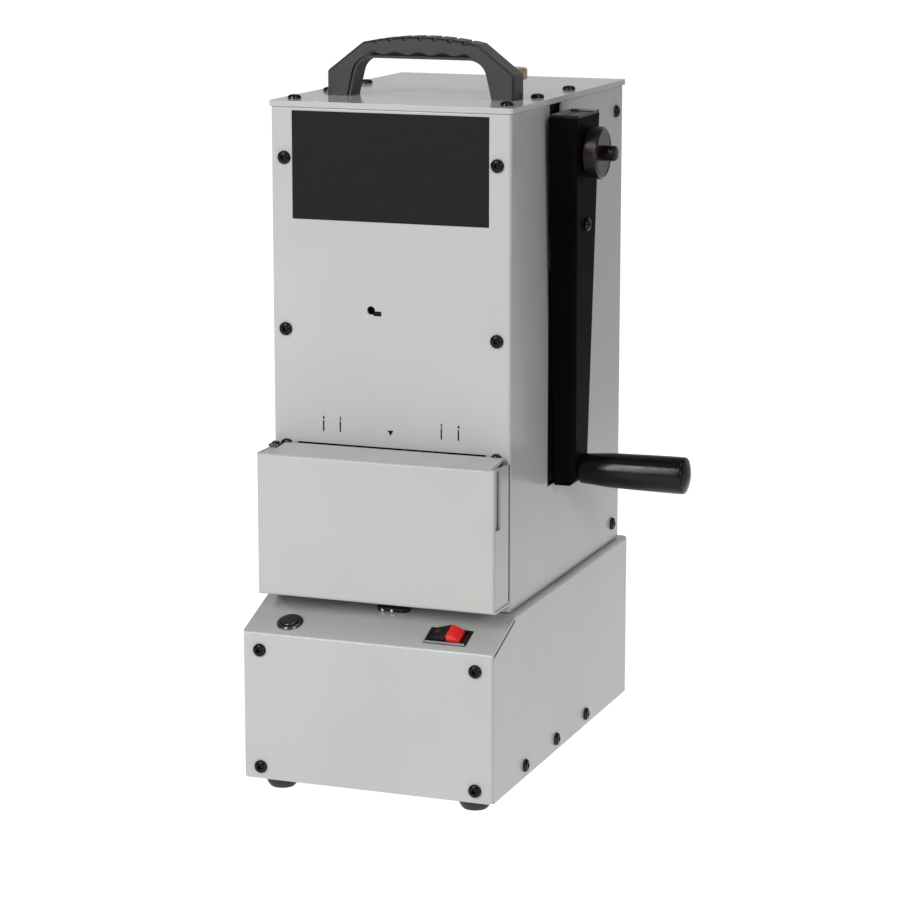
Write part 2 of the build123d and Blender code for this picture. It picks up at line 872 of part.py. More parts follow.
def shaft_bushes():
    """Flanged bronze bushes of the crank shaft and the gear shaft."""
    solids = []
    for z, radius in ((crank_z, crank_shaft_radius), (gear_z, gear_shaft_radius)):
        for side in (-1, 1):
            body = rod_x(bush_radius, sorted((side * frame_inner, side * frame_outer)), crank_y, z)
            flange_x = sorted((side * (frame_inner - bush_flange), side * frame_inner))
            body += rod_x(bush_flange_radius, flange_x, crank_y, z)
            bore_x = sorted((side * (frame_inner - overrun), side * (frame_outer + overrun)))
            solids.append(body - rod_x(radius + running_gap, bore_x, crank_y, z))
    return gather(solids)


def drive_support():
    """Loose tray that sets the drive's height, with two side rails."""
    half = tray_width / 2
    y = (tray_front, back_plate_front_y - guide_gap)
    tray = block((-half, half), y, (bed_top_z, bed_top_z + tray_thickness))
    for side in (-1, 1):
        rail_x = sorted((side * half, side * (half - tray_rail_width)))
        tray += block(rail_x, y, (bed_top_z, bed_top_z + tray_thickness + tray_rail_height))
    return tray - rod_z(bed_hole_radius, 0, ram_y, (bed_top_z - overrun, bed_top_z + overrun * 2))


def gear_points(module, teeth, first):
    """Involute teeth round a wheel, as (radius, angle) turned to points, with a tooth at angle first."""
    slope = radians(pressure_angle)
    pitch = module * teeth / 2
    base = pitch * cos(slope)
    root, tip = pitch - module * 1.25, pitch + module
    half_tooth = pi / (2 * teeth) - backlash / (2 * pitch)

    def half_angle(radius):
        turn = acos(min(1.0, base / radius))
        return half_tooth + (tan(slope) - slope) - (tan(turn) - turn)

    start = max(base, root + module / 10)
    radii = [start, pitch, (pitch + tip) / 2, tip]
    points = []
    for tooth in range(teeth):
        middle = first + 2 * pi * tooth / teeth
        flank = [(root, half_angle(start))] + [(radius, half_angle(radius)) for radius in radii]
        for radius, angle in flank:
            points.append((radius, middle - angle))
        for radius, angle in reversed(flank):
            points.append((radius, middle + angle))
    return [(radius * cos(angle), radius * sin(angle)) for radius, angle in points]


def wheel(module, teeth, first, x, y, z):
    """A spur wheel across X, with one tooth at angle first in the Y, Z plane."""
    points = [(y + u, z + v) for u, v in gear_points(module, teeth, first)]
    return profile_x(points, x)


def crank_shaft():
    """Through shaft of the crank, stepped down to the lock knob's stud."""
    shaft = rod_x(crank_shaft_radius, (-frame_outer, lever_x1), crank_y, crank_z)
    shaft += rod_x(stud_radius, (lever_x1, stud_end_x - stud_radius / 2), crank_y, crank_z)
    nose = Pos(stud_end_x - stud_radius / 2, crank_y, crank_z) * TO_RIGHT
    dome = [(0, 0), (stud_radius, 0), (stud_radius * cos(radians(30)), stud_radius / 4),
            (stud_radius / 2, stud_radius * cos(radians(30)) / 2), (0, stud_radius / 2)]
    return shaft + nose * turned(dome)


def crank_pinion():
    """Pinion on the crank shaft."""
    pinion = wheel(gear_module, pinion_teeth, -pi / 2, (gear_x0, gear_x1), crank_y, crank_z)
    return pinion - rod_x(crank_shaft_radius, (gear_x0 - overrun, gear_x1 + overrun), crank_y, crank_z)


def reduction_gear():
    """Large wheel that the pinion turns, with a hub and round windows."""
    first = pi / 2 + pi / gear_teeth
    gear = wheel(gear_module, gear_teeth, first, (gear_x0, gear_x1), gear_y, gear_z)
    gear += rod_x(gear_hub_radius, (gear_x0 - gear_hub_length, gear_x0), gear_y, gear_z)
    window_ring = (gear_hub_radius + gear_pitch_radius - gear_module) / 2
    for i in range(gear_window_count):
        angle = 2 * pi * i / gear_window_count
        y, z = gear_y + window_ring * cos(angle), gear_z + window_ring * sin(angle)
        gear -= rod_x(gear_window_radius, (gear_x0 - overrun, gear_x1 + overrun), y, z)
    bore = (gear_x0 - gear_hub_length - overrun, gear_x1 + overrun)
    return gear - rod_x(gear_shaft_radius, bore, gear_y, gear_z)


def gear_shaft():
    """Shaft of the reduction gear and the rack pinion."""
    return rod_x(gear_shaft_radius, (-frame_outer, frame_outer), gear_y, gear_z)


def rack_pinion():
    """Pinion that drives the ram's rack."""
    half = rack_width / 2
    pinion = wheel(rack_module, rack_teeth, pi, (-half, half), gear_y, gear_z)
    return pinion - rod_x(gear_shaft_radius, (-half - overrun, half + overrun), gear_y, gear_z)


def ram():
    """Square ram with rack teeth up its back."""
    pitch = pi * rack_module
    root_y = rack_line_y - rack_module * 1.25
    lean = tan(radians(pressure_angle))
    half_gap = pitch / 4 + backlash / 2
    top = half_gap + rack_module * lean
    low = half_gap - rack_module * 1.25 * lean
    body = block((-ram_half, ram_half), (ram_front_y, ram_back_y), (ram_low_z, ram_top_z))
    above = ceil((ram_travel + rack_pitch_radius) / pitch)
    below = ceil(rack_pitch_radius / 2 / pitch)
    for i in range(-below, above + 1):
        z = gear_z + pitch * i
        gap = [(root_y, z - low), (root_y, z + low), (ram_back_y, z + top), (ram_back_y + overrun, z + top),
               (ram_back_y + overrun, z - top), (ram_back_y, z - top)]
        body -= profile_x(gap, (-ram_half - overrun, ram_half + overrun))
    return body - rod_z(punch_shank_radius, 0, ram_y, (ram_low_z - overrun, ram_low_z + punch_shank_length))


def punch():
    """Hardened conical punch on a shank in the ram's foot."""
    outline = [
        (0, -punch_length - punch_cone),
        (punch_tip_radius, -punch_length - punch_cone),
        (punch_radius, -punch_length),
        (punch_radius, 0),
        (punch_shank_radius, 0),
        (punch_shank_radius, punch_shank_length),
        (0, punch_shank_length),
    ]
    return Pos(0, ram_y, ram_low_z) * turned(outline)


def ready_flag():
    """Bent flag on the ram that shows behind the sight hole when the ram is up."""
    x1 = -ram_half
    x0 = x1 - flag_thickness
    z = (sight_z - flag_height / 2, sight_z + flag_height / 2)
    arm = block((x0, x1), (flag_front, ram_y), z)
    tab_x = (sight_hole_x - flag_width / 2, x1)
    return arm + block(tab_x, (flag_front, flag_front + flag_thickness), z)


def gearmotor():
    """Worm gearbox with its motor hanging below."""
    y = (gearbox_front_y, gearbox_front_y + gearbox_depth)
    box = block((gearbox_x0, gearbox_x1), y, (gearbox_low_z, gearbox_top_z))
    box = chamfer(box.edges().filter_by(Axis.X), motor_neck_length / 2)
    middle_y = (y[0] + y[1]) / 2
    neck = (gearbox_low_z - motor_neck_length, gearbox_low_z)
    box += rod_z(motor_neck_radius, gearbox_x, middle_y, neck)
    bore = (gearbox_x0 - overrun, gearbox_x1 - overrun)
    return box - rod_x(output_radius + running_gap, bore, motor_y, motor_z)


def motor_can():
    """Round motor body with an end cap step."""
    middle_y = gearbox_front_y + gearbox_depth / 2
    top = gearbox_low_z - motor_neck_length
    can = rod_z(motor_radius, gearbox_x, middle_y, (top - motor_length, top))
    step = motor_length / 8
    groove = rod_z(motor_radius + overrun, gearbox_x, middle_y, (top - motor_length + step, top - motor_length + step * 1.2))
    core = rod_z(motor_radius - motor_radius / 20, gearbox_x, middle_y, (top - motor_length, top))
    return can - (groove - core)


def motor_bracket():
    """Plate behind the press frame that carries the gearbox."""
    z = (deck_z + back_plate_height - gearbox_height / 2, gearbox_top_z)
    return block((gearbox_x0, frame_outer), (frame_rear_y, gearbox_front_y), z)


def output_shaft():
    """The gearbox's output shaft."""
    return rod_x(output_radius, (pulley_x0, gearbox_x1 - overrun * 2), motor_y, motor_z)


def pulley(bore, y, z):
    """A belt pulley with two rims."""
    body = rod_x(pulley_radius, (pulley_x0, pulley_x1), y, z)
    body += rod_x(pulley_rim_radius, (pulley_x0, pulley_x0 + pulley_rim), y, z)
    body += rod_x(pulley_rim_radius, (pulley_x1 - pulley_rim, pulley_x1), y, z)
    return body - rod_x(bore, (pulley_x0 - overrun, pulley_x1 + overrun), y, z)


def crank_pulley():
    return pulley(crank_shaft_radius, crank_y, crank_z)


def motor_pulley():
    return pulley(output_radius, motor_y, motor_z)


def drive_belt():
    """Belt round both pulleys, clear of them by a running gap."""
    span = hypot(motor_y - crank_y, motor_z - crank_z)
    turn = degrees(atan2(motor_z - crank_z, motor_y - crank_y))
    inner = (pulley_radius + loose_gap) * 2
    outer = inner + belt_thickness * 2
    loop = SlotCenterToCenter(span, outer) - SlotCenterToCenter(span, inner)
    middle_x = (pulley_x0 + pulley_x1) / 2 - belt_width / 2
    place = Plane(origin=(middle_x, (crank_y + motor_y) / 2, (crank_z + motor_z) / 2),
                  x_dir=(0, cos(radians(turn)), sin(radians(turn))), z_dir=(1, 0, 0))
    return extrude(place * loop, amount=belt_width)


def lever_outline(inset, top_extra):
    """The lever's view from the right, narrowing and leaning back as it goes down."""
    top, low = lever_top_z + top_extra, lever_low_z + inset
    half_top, half_low = lever_top_width / 2 - inset, lever_low_width / 2 - inset
    y_top, y_low = lever_centre_y(lever_top_z), lever_centre_y(lever_low_z)
    return [(y_top - half_top, top), (y_top + half_top, top), (y_low + half_low, low), (y_low - half_low, low)]


def crank_arm():
    """Folded channel lever, open at the top and towards the cabinet."""
    side_view = [(lever_x0, lever_low_z), (lever_low_x1 - lever_chamfer, lever_low_z),
                 (lever_low_x1, lever_low_z + lever_chamfer), (lever_x1, lever_top_z), (lever_x0, lever_top_z)]
    wide = (crank_y - lever_top_width, crank_y + lever_top_width)
    outer = profile_y(side_view, wide) & profile_x(lever_outline(0, 0), (lever_x0 - overrun, lever_x1 + overrun))
    long_edges = [edge for edge in outer.edges()
                  if edge.length > lever_reach and edge.center().X > (lever_x0 + lever_low_x1) / 2]
    outer = fillet(long_edges, lever_bend)
    room = [(lever_x0 - overrun, lever_low_z), (lever_low_x1 - lever_wall, lever_low_z),
            (web_x(lever_top_z) - lever_wall, lever_top_z),
            (web_x(lever_top_z) - lever_wall, lever_top_z + overrun), (lever_x0 - overrun, lever_top_z + overrun)]
    inner = profile_y(room, wide) & profile_x(lever_outline(lever_wall, overrun * 2),
                                              (lever_x0 - overrun * 2, lever_x1 + overrun))
    arm = outer - inner
    arm -= rod_x(crank_shaft_radius, (lever_x0, lever_x1 + overrun), crank_y, crank_z)
    arm -= rod_x(spindle_radius, (lever_x0, lever_x1 + overrun), grip_y, grip_z)
    screw_z = crank_z - lever_screw_drop
    screw_bore = (lever_x0, lever_x1 + overrun)
    return arm - rod_x(screw_radius + hole_play, screw_bore, lever_centre_y(screw_z), screw_z)


def crank_hub():
    """Round hub inside the lever, pinned on the shaft."""
    face = min(web_x(crank_z - hub_radius), web_x(crank_z + hub_radius)) - lever_wall
    hub = rod_x(hub_radius, (lever_x0, face), crank_y, crank_z)
    return hub - rod_x(crank_shaft_radius, (lever_x0 - overrun, face + overrun), crank_y, crank_z)


def lever_screw():
    """Button head screw on the lever's web."""
    z = crank_z - lever_screw_drop
    lean = degrees(atan2(lever_x1 - lever_low_x1, lever_top_z - lever_low_z))
    place = Pos(web_x(z), lever_centre_y(z), z) * Rot(0, lean, 0) * TO_RIGHT
    return place * button_screw(lever_top_depth - lever_wall * 2)


def lock_knob():
    """Knurled lock knob on the crank shaft's stud."""
    outline = [
        (stud_radius + running_gap, 0),
        (knob_collar_radius, 0),
        (knob_collar_radius, knob_collar_length),
        (knob_radius - knob_chamfer, knob_collar_length),
        (knob_radius, knob_collar_length + knob_chamfer),
        (knob_radius, knob_collar_length + knob_width - knob_chamfer),
        (knob_radius - knob_chamfer, knob_collar_length + knob_width),
        (stud_radius + running_gap, knob_collar_length + knob_width),
    ]
    return Pos(knob_x0, crank_y, crank_z) * TO_RIGHT * turned(outline)


def grip_spindle():
    """Shoulder bolt through the lever that the grip turns on."""
    inner_face = web_x(grip_z) - lever_wall
    bolt = rod_x(spindle_radius, (inner_face - spindle_head_height, grip_x0 + spindle_reach), grip_y, grip_z)
    head_x = (inner_face - spindle_head_height, inner_face - loose_gap)
    return bolt + rod_x(spindle_head_radius, head_x, grip_y, grip_z)


def crank_grip():
    """Long smooth grip that swells to a domed end and turns freely."""
    bore = spindle_radius + running_gap
    bore_end = spindle_reach + loose_gap
    rim_radius = grip_end_radius - grip_rim
    dome_radius = (rim_radius ** 2 + grip_dome ** 2) / (2 * grip_dome)
    with BuildPart() as grip:
        with BuildSketch(Plane.XZ):
            with BuildLine():
                Polyline((0, grip_length + grip_dome), (0, bore_end), (bore, bore_end), (bore, 0),
                         (grip_root_radius, 0))
                swell = Spline((grip_root_radius, 0), (grip_swell_radius, grip_length * grip_swell_share),
                               (grip_end_radius, grip_length - grip_rim), tangents=((0, 1), (0, 1)))
                rim = RadiusArc(swell @ 1, (rim_radius, grip_length), -grip_rim)
                RadiusArc(rim @ 1, (0, grip_length + grip_dome), -dome_radius)
            make_face()
        revolve(axis=Axis.Z)
    return Pos(grip_x0, grip_y, grip_z) * TO_RIGHT * grip.part


def door_pan():
    """Folded door: a front with four lips and slits at the corners, its top lip rising to the back, a pull
    notch with a tab behind it, and a clipped corner that swings clear of the screw beside the pivot."""
    x, y, z = (-cabinet_half, cabinet_half), (door_front_y, door_back_y), (door_low_z, door_top_z)
    door = block(x, y, z)
    front_edges = door.faces().sort_by(Axis.Y)[0].edges()
    door = fillet(front_edges, bend)
    door -= block((x[0] + sheet, x[1] - sheet), (y[0] + sheet, y[1] + overrun), (z[0] + sheet, z[1] - sheet))
    bend_y = y[0] + bend
    inner = cabinet_half - sheet
    door -= block((-inner, -inner + door_low_slit), (bend_y, y[1] + overrun), (z[1] - sheet - overrun, z[1] + overrun))
    door -= block((flare_x0 - door_low_slit, inner), (bend_y, y[1] + overrun), (z[1] - sheet - overrun, z[1] + overrun))
    flap = [(bend_y, z[1] - sheet), (bend_y, z[1]), (y[1], z[1] + door_flare), (y[1], z[1] + door_flare - sheet)]
    door += profile_x(flap, (flare_x0, flare_x1))
    above_side = [(bend_y, z[1]), (bend_y, z[1] + overrun), (y[1] + overrun, z[1] + overrun),
                  (y[1] + overrun, z[1] - door_side_drop)]
    door -= profile_x(above_side, (inner, cabinet_half + overrun))
    for side in (-1, 1):
        slit_x = sorted((side * (inner - overrun), side * (inner + overrun)))
        door -= block(slit_x, (bend_y, y[1] + overrun), (z[0] + sheet, z[0] + sheet + door_low_slit))
    notch_y = (y[0] + door_notch_front, y[0] + door_notch_front + door_notch_depth)
    door -= block((x[1] - overrun, x[1] + overrun), notch_y, (z[1] - door_notch_height, z[1] - sheet))
    tab_x = (x[1] - sheet - door_tab_gap - sheet, x[1] - sheet - door_tab_gap)
    door += block(tab_x, (y[0] + sheet, y[0] + sheet + door_tab_width), (z[1] - door_notch_height - sheet, z[1] - sheet))
    clip_z = cabinet_top_z - max(front_screw_heights) - screw_head_radius - loose_gap * 2
    door -= block((x[0] - overrun, x[0] + sheet), (y[1] - door_clip_depth, y[1] + overrun),
                  (clip_z, z[1] + overrun))
    pin_hole = hinge_pin_radius + running_gap
    return door - rod_z(pin_hole, hinge_x, hinge_y, (z[0] - overrun, z[1] + overrun))


def hinge_leaves():
    """Two small pivot tabs on the cabinet's front, above and below the door."""
    left = -cabinet_half
    root = left + hinge_root_width
    nose = hinge_x + hinge_leaf_margin
    front = hinge_y - hinge_leaf_margin
    shoulder = -screw_head_height - loose_gap
    outline = [(left, 0), (root, 0), (root, shoulder), (nose, shoulder), (nose, front), (left, front)]
    hole = hinge_pin_radius
    leaves = []
    for z in (hinge_upper_z, hinge_lower_z - hinge_leaf_thickness):
        leaf = profile_z(outline, (z, z + hinge_leaf_thickness))
        leaves.append(leaf - rod_z(hole, hinge_x, hinge_y, (z - overrun, z + overrun)))
    return gather(leaves)


def hinge_pins():
    """Two domed pins that the door turns on."""
    outline = [(0, 0), (hinge_head_radius, 0), (hinge_head_radius * cos(radians(45)), hinge_head_height),
               (0, hinge_head_height)]
    head = turned(outline)
    reach = hinge_leaf_thickness + hinge_leaf_gap + hinge_pin_reach
    pin = head + rod_z(hinge_pin_radius, 0, 0, (-reach, 0))
    upper = Pos(hinge_x, hinge_y, hinge_upper_z + hinge_leaf_thickness) * pin
    lower = Pos(hinge_x, hinge_y, hinge_lower_z - hinge_leaf_thickness) * Rot(180, 0, 0) * pin
    return gather([upper, lower])


def door_latch():
    """Black magnetic latch on the base's slope under the door."""
    place = on_slope(latch_x, latch_front)
    body = fillet(Box(latch_width, latch_depth, latch_height).edges().filter_by(Axis.Z), latch_depth / 3)
    return place * Pos(0, 0, latch_height / 2) * body


def latch_pins():
    """Two bright contact pins on the front of the latch."""
    solids = []
    for side in (-1, 1):
        place = on_slope(latch_x - latch_pin_spread + side * latch_pin_spread, latch_front)
        pin = Pos(0, -latch_depth / 2, latch_height / 2) * TO_FRONT * Cylinder(
            latch_pin_radius, latch_pin_height, align=(Align.CENTER, Align.CENTER, Align.MIN))
        solids.append(place * pin)
    return gather(solids)


def button_bezel():
    """Start button's flange and threaded body."""
    place = on_slope(button_x, button_front)
    floor = button_cap_proud - button_cap_length - button_travel
    outline = [
        (0, -button_body_length),
        (button_thread_radius, -button_body_length),
        (button_thread_radius, 0),
        (button_radius, 0),
        (button_radius, button_flange / 2),
        (button_radius - button_flange / 2, button_flange),
        (button_cap_radius + running_gap, button_flange),
        (button_cap_radius + running_gap, floor + button_flange - loose_gap),
        (0, floor + button_flange - loose_gap),
    ]
    return place * turned(outline)


def button_nut():
    """Ring nut that holds the start button from behind."""
    under = Pos(0, 0, -sheet - button_nut_height)
    nut = under * hexagon(button_nut_radius * 2, button_nut_height)
    bore = rod_z(button_thread_radius, 0, 0, (-sheet - button_nut_height - overrun, overrun))
    return on_slope(button_x, button_front) * (nut - bore)


def button_cap():
    """Start button's cap, which slides in its bezel."""
    top = button_flange + button_cap_proud
    cap = rod_z(button_cap_radius, 0, 0, (top - button_cap_length, top))
    cap = chamfer(cap.edges().sort_by(Axis.Z)[-1], button_cap_proud / 2)
    return on_slope(button_x, button_front) * cap


def switch_bezel():
    """Power switch's frame and body, with the rocker's pocket."""
    flange = Pos(0, 0, switch_flange / 2) * Box(switch_length, switch_width, switch_flange)
    flange = chamfer(flange.edges().group_by(Axis.Z)[-1], switch_chamfer)
    margin = 2 * switch_body_margin
    body = Pos(0, 0, -switch_body_depth / 2) * Box(switch_length - margin, switch_width - margin, switch_body_depth)
    pocket = block((-switch_window_length / 2, switch_window_length / 2),
                   (-switch_window_width / 2, switch_window_width / 2),
                   (-rocker_pocket_depth, switch_flange + overrun))
    pivot = rod_y(rocker_pivot_radius + running_gap, 0, (-switch_width, switch_width), -rocker_pivot_depth)
    return on_slope(switch_x, switch_front) * (flange + body - pocket - pivot)


def rocker_body(x0, x1):
    """The rocker between two cuts across it."""
    half = switch_window_width / 2 - rocker_gap
    level = switch_flange
    with BuildPart() as rocker:
        with BuildSketch(Plane.XZ.offset(-half)):
            with BuildLine():
                Polyline((rocker_right, level), (rocker_right, -rocker_depth), (-rocker_left, -rocker_depth),
                         (-rocker_left, level + rocker_left_height), (rocker_ridge, level + rocker_ridge_height))
                RadiusArc((rocker_ridge, level + rocker_ridge_height), (rocker_right, level), rocker_right)
            make_face()
        extrude(amount=2 * half)
    keep = block((x0, x1), (-switch_width, switch_width), (-switch_length, switch_length))
    return on_slope(switch_x, switch_front) * (rocker.part & keep)


def power_rocker():
    """Black half of the rocker, with the two stub pins that it rocks on."""
    reach = switch_width / 2 - switch_body_margin
    pins = rod_y(rocker_pivot_radius, 0, (-reach, reach), -rocker_pivot_depth)
    return rocker_body(-switch_length, rocker_ridge) + on_slope(switch_x, switch_front) * pins


def rocker_lens():
    """Red half of the rocker."""
    return rocker_body(rocker_ridge, switch_length)


def handle_window(rim, y):
    """The arch under the handle, widened all round by rim, between two Y limits."""
    low_half, top_half, top = handle_half - handle_leg + rim, handle_gap_half + rim, handle_gap_height + rim
    gap = [(-low_half, -overrun), (-low_half, 0), (-top_half, top), (top_half, top), (low_half, 0),
           (low_half, -overrun)]
    window = profile_y([(handle_x + x, plate_top_z + z) for x, z in gap], y)
    return fillet(window.edges().filter_by(Axis.Y).group_by(Axis.Z)[-1], handle_gap_fillet + rim)


def crown_z(x):
    """Height of the handle's crowned top, from how far it is from the handle's middle."""
    return plate_top_z + handle_height - handle_crown_radius + (handle_crown_radius ** 2 - x ** 2) ** 0.5


def carry_handle():
    """Moulded bridge handle: a crowned top cut into eight pads, and a stepped rim round its arch."""
    y0, y1 = handle_y - handle_depth / 2, handle_y + handle_depth / 2
    foot = [(-handle_bend_x, handle_bend_z), (-handle_half, handle_shoulder), (-handle_half, 0),
            (handle_half, 0), (handle_half, handle_shoulder), (handle_bend_x, handle_bend_z)]
    ends = [(handle_x + x, plate_top_z + z) for x, z in foot]
    with BuildPart() as bridge:
        with BuildSketch(Plane.XZ.offset(-y1)):
            with BuildLine():
                Polyline(*ends)
                ThreePointArc(ends[-1], (handle_x, crown_z(0)), ends[0])
            make_face()
        extrude(amount=y1 - y0)
    body = bridge.part
    turns = [edge for edge in body.edges().filter_by(Axis.Y) if edge.center().Z > plate_top_z + handle_round]
    body = fillet(turns, handle_fillet)
    rims = [edge for edge in body.edges()
            if abs(edge.center().Y - handle_y) > handle_depth / 2 - handle_round / 4
            and edge.center().Z > plate_top_z + handle_round]
    body = chamfer(rims, handle_round / 2)
    body -= handle_window(0, (y0 - overrun, y1 + overrun))
    body -= handle_window(handle_rim, (y0 - overrun, y0 + handle_rim_step))
    body -= handle_window(handle_rim, (y1 - handle_rim_step, y1 + overrun))
    for i in range(ridge_count - 1):
        x = ridge_pitch * (i - (ridge_count - 2) / 2)
        body -= rod_y(ridge_gap_radius, handle_x + x, (y0 - overrun, y1 + overrun), crown_z(x))
        for edge_y in (y0 + handle_round / 4, y1 - handle_round / 4):
            body -= Pos(handle_x + x, edge_y, crown_z(x) - handle_round / 4) * Sphere(ridge_dimple_radius)
    for side in (-1, 1):
        body -= rod_z(handle_screw_radius, handle_x + side * (handle_half - handle_screw_inset), handle_y,
                      (plate_top_z - overrun, plate_top_z + handle_screw_reach))
    return body


def handle_screws():
    """Two screws that hold the handle from under the lid plate."""
    solids = []
    for side in (-1, 1):
        x = handle_x + side * (handle_half - handle_screw_inset)
        shank = rod_z(handle_screw_radius, x, handle_y, (cabinet_top_z, plate_top_z + handle_screw_reach))
        head = rod_z(handle_screw_head_radius, x, handle_y, (cabinet_top_z - handle_screw_head_height, cabinet_top_z))
        solids.append(shank + head)
    return gather(solids)


def oil_filler():
    """Bright filler ring on the lid plate, with its pipe below."""
    outline = [
        (filler_bore_radius, -filler_pipe_length),
        (filler_pipe_radius, -filler_pipe_length),
        (filler_pipe_radius, 0),
        (filler_ring_radius, 0),
        (filler_ring_radius, filler_ring_height - filler_chamfer),
        (filler_ring_radius - filler_chamfer, filler_ring_height),
        (filler_bore_radius, filler_ring_height),
    ]
    return Pos(filler_x, filler_y, plate_top_z) * turned(outline)


def oil_cap():
    """Brass cap of the filler on its neck."""
    low = filler_ring_height - filler_neck_height
    top = filler_ring_height + filler_neck_height
    outline = [
        (0, low),
        (filler_bore_radius - running_gap, low),
        (filler_bore_radius - running_gap, filler_ring_height),
        (filler_neck_radius, filler_ring_height),
        (filler_neck_radius, top),
        (filler_cap_radius - filler_chamfer, top),
        (filler_cap_radius, top + filler_chamfer),
        (filler_cap_radius, top + filler_cap_height - filler_chamfer),
        (filler_cap_radius - filler_chamfer, top + filler_cap_height),
        (0, top + filler_cap_height),
    ]
    return Pos(filler_x, filler_y, plate_top_z) * turned(outline)


def power_inlet():
    """Appliance inlet in the base's rear panel, with three blades in its socket."""
    y0 = base_rear_y
    flange = block((inlet_x - inlet_width / 2, inlet_x + inlet_width / 2), (y0, y0 + inlet_flange),
                   (inlet_z - inlet_height / 2, inlet_z + inlet_height / 2))
    flange = chamfer(flange.edges().filter_by(Axis.Y), inlet_corner)
    body = block((inlet_x - inlet_body_width / 2, inlet_x + inlet_body_width / 2), (y0 - inlet_body_depth, y0),
                 (inlet_z - inlet_body_height / 2, inlet_z + inlet_body_height / 2))
    socket = block((inlet_x - inlet_socket_width / 2, inlet_x + inlet_socket_width / 2),
                   (y0 + inlet_flange - inlet_socket_depth, y0 + inlet_flange + overrun),
                   (inlet_z - inlet_socket_height / 2, inlet_z + inlet_socket_height / 2))
    upper_edges = socket.edges().filter_by(Axis.Y).group_by(Axis.Z)[-1]
    inlet = flange + body - chamfer(upper_edges, inlet_corner)
    for side in (-1, 1):
        inlet -= rod_y(screw_radius, inlet_x + side * inlet_screw_spread, (y0 - overrun, y0 + overrun), inlet_z)
    root = y0 + inlet_flange - inlet_socket_depth
    for dx, dz in ((-inlet_pin_spread, -inlet_pin_rise), (0, inlet_pin_rise), (inlet_pin_spread, -inlet_pin_rise)):
        inlet += block((inlet_x + dx - inlet_pin_width / 2, inlet_x + dx + inlet_pin_width / 2),
                       (root, root + inlet_pin_length),
                       (inlet_z + dz - inlet_pin_height / 2, inlet_z + dz + inlet_pin_height / 2))
    return inlet


def power_supply():
    """Open frame supply in a vented steel case on the base's floor."""
    case = block((supply_x - supply_width / 2, supply_x + supply_width / 2),
                 (supply_y - supply_length / 2, supply_y + supply_length / 2),
                 (floor_top_z, floor_top_z + supply_height))
    for i in range(supply_slot_count):
        y = supply_y + supply_slot_pitch * (i - (supply_slot_count - 1) / 2)
        case -= block((supply_x - supply_slot_length, supply_x + supply_slot_length),
                      (y - supply_slot_width / 2, y + supply_slot_width / 2),
                      (floor_top_z + supply_height - sheet, floor_top_z + supply_height + overrun))
    return case


def control_board():
    """Control board on four standoffs, with relays and a capacitor."""
    z0 = floor_top_z + standoff_height
    top = z0 + board_thickness
    board = block((board_x - board_width / 2, board_x + board_width / 2),
                  (board_y - board_length / 2, board_y + board_length / 2), (z0, top))
    for dx, dy in corners(board_width / 2 - standoff_inset, board_length / 2 - standoff_inset):
        board += rod_z(standoff_radius, board_x + dx, board_y + dy, (floor_top_z, z0))
    for i in range(relay_count):
        y = board_y + relay_pitch * (i - (relay_count - 1) / 2)
        board += block((board_x - relay_width / 2, board_x + relay_width / 2),
                       (y - relay_length / 2, y + relay_length / 2), (top, top + relay_height))
    side_x = board_x + board_width / 2 - capacitor_radius - standoff_inset
    return board + rod_z(capacitor_radius, side_x, board_y, (top, top + capacitor_height))


PIECES = [
    base_shell, base_floor, corner_posts, base_rear_panel, rubber_feet, foot_screws, base_screws,
    power_supply, control_board, power_inlet,
    button_bezel, button_nut, button_cap, switch_bezel, power_rocker, rocker_lens, door_latch, latch_pins,
    cabinet_wrap, cabinet_rear_panel, top_plate, cabinet_screws, top_screws, label_plate,
    frame_plate_left, frame_plate_right, bed_plate, back_plate, head_block, upper_guide, shaft_bushes,
    drive_support,
    crank_shaft, crank_pinion, crank_pulley, crank_arm, crank_hub, lever_screw, grip_spindle,
    lock_knob, crank_grip,
    reduction_gear, gear_shaft, rack_pinion, ram, punch, ready_flag,
    gearmotor, motor_can, motor_bracket, output_shaft, motor_pulley, drive_belt,
    door_pan, hinge_leaves, hinge_pins,
    carry_handle, handle_screws, oil_filler, oil_cap,
]

os.makedirs("parts", exist_ok=True)
for piece in PIECES:
    export_step(MIDDLE * piece(), f"parts/{piece.__name__}.step")
print("pieces", len(PIECES), "origin offset", MIDDLE.position)
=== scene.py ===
# %% [markdown]
# # A bench-top hard drive crusher
# The machine is mostly folded sheet steel with a powder coat, so its looks rest on three things: the
# soft shine of the coat, the thin bright lines where a sheet is bent, and the small black and bright
# fittings that break up the large flat faces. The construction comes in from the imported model. Here each
# surface gets the finish that the real one has, and the small turned and moulded pieces are modelled.

# %% Load the frame
import json
from math import atan2, cos, pi, radians, sin, sqrt, tau

import bpy
from mathutils import Matrix, Vector

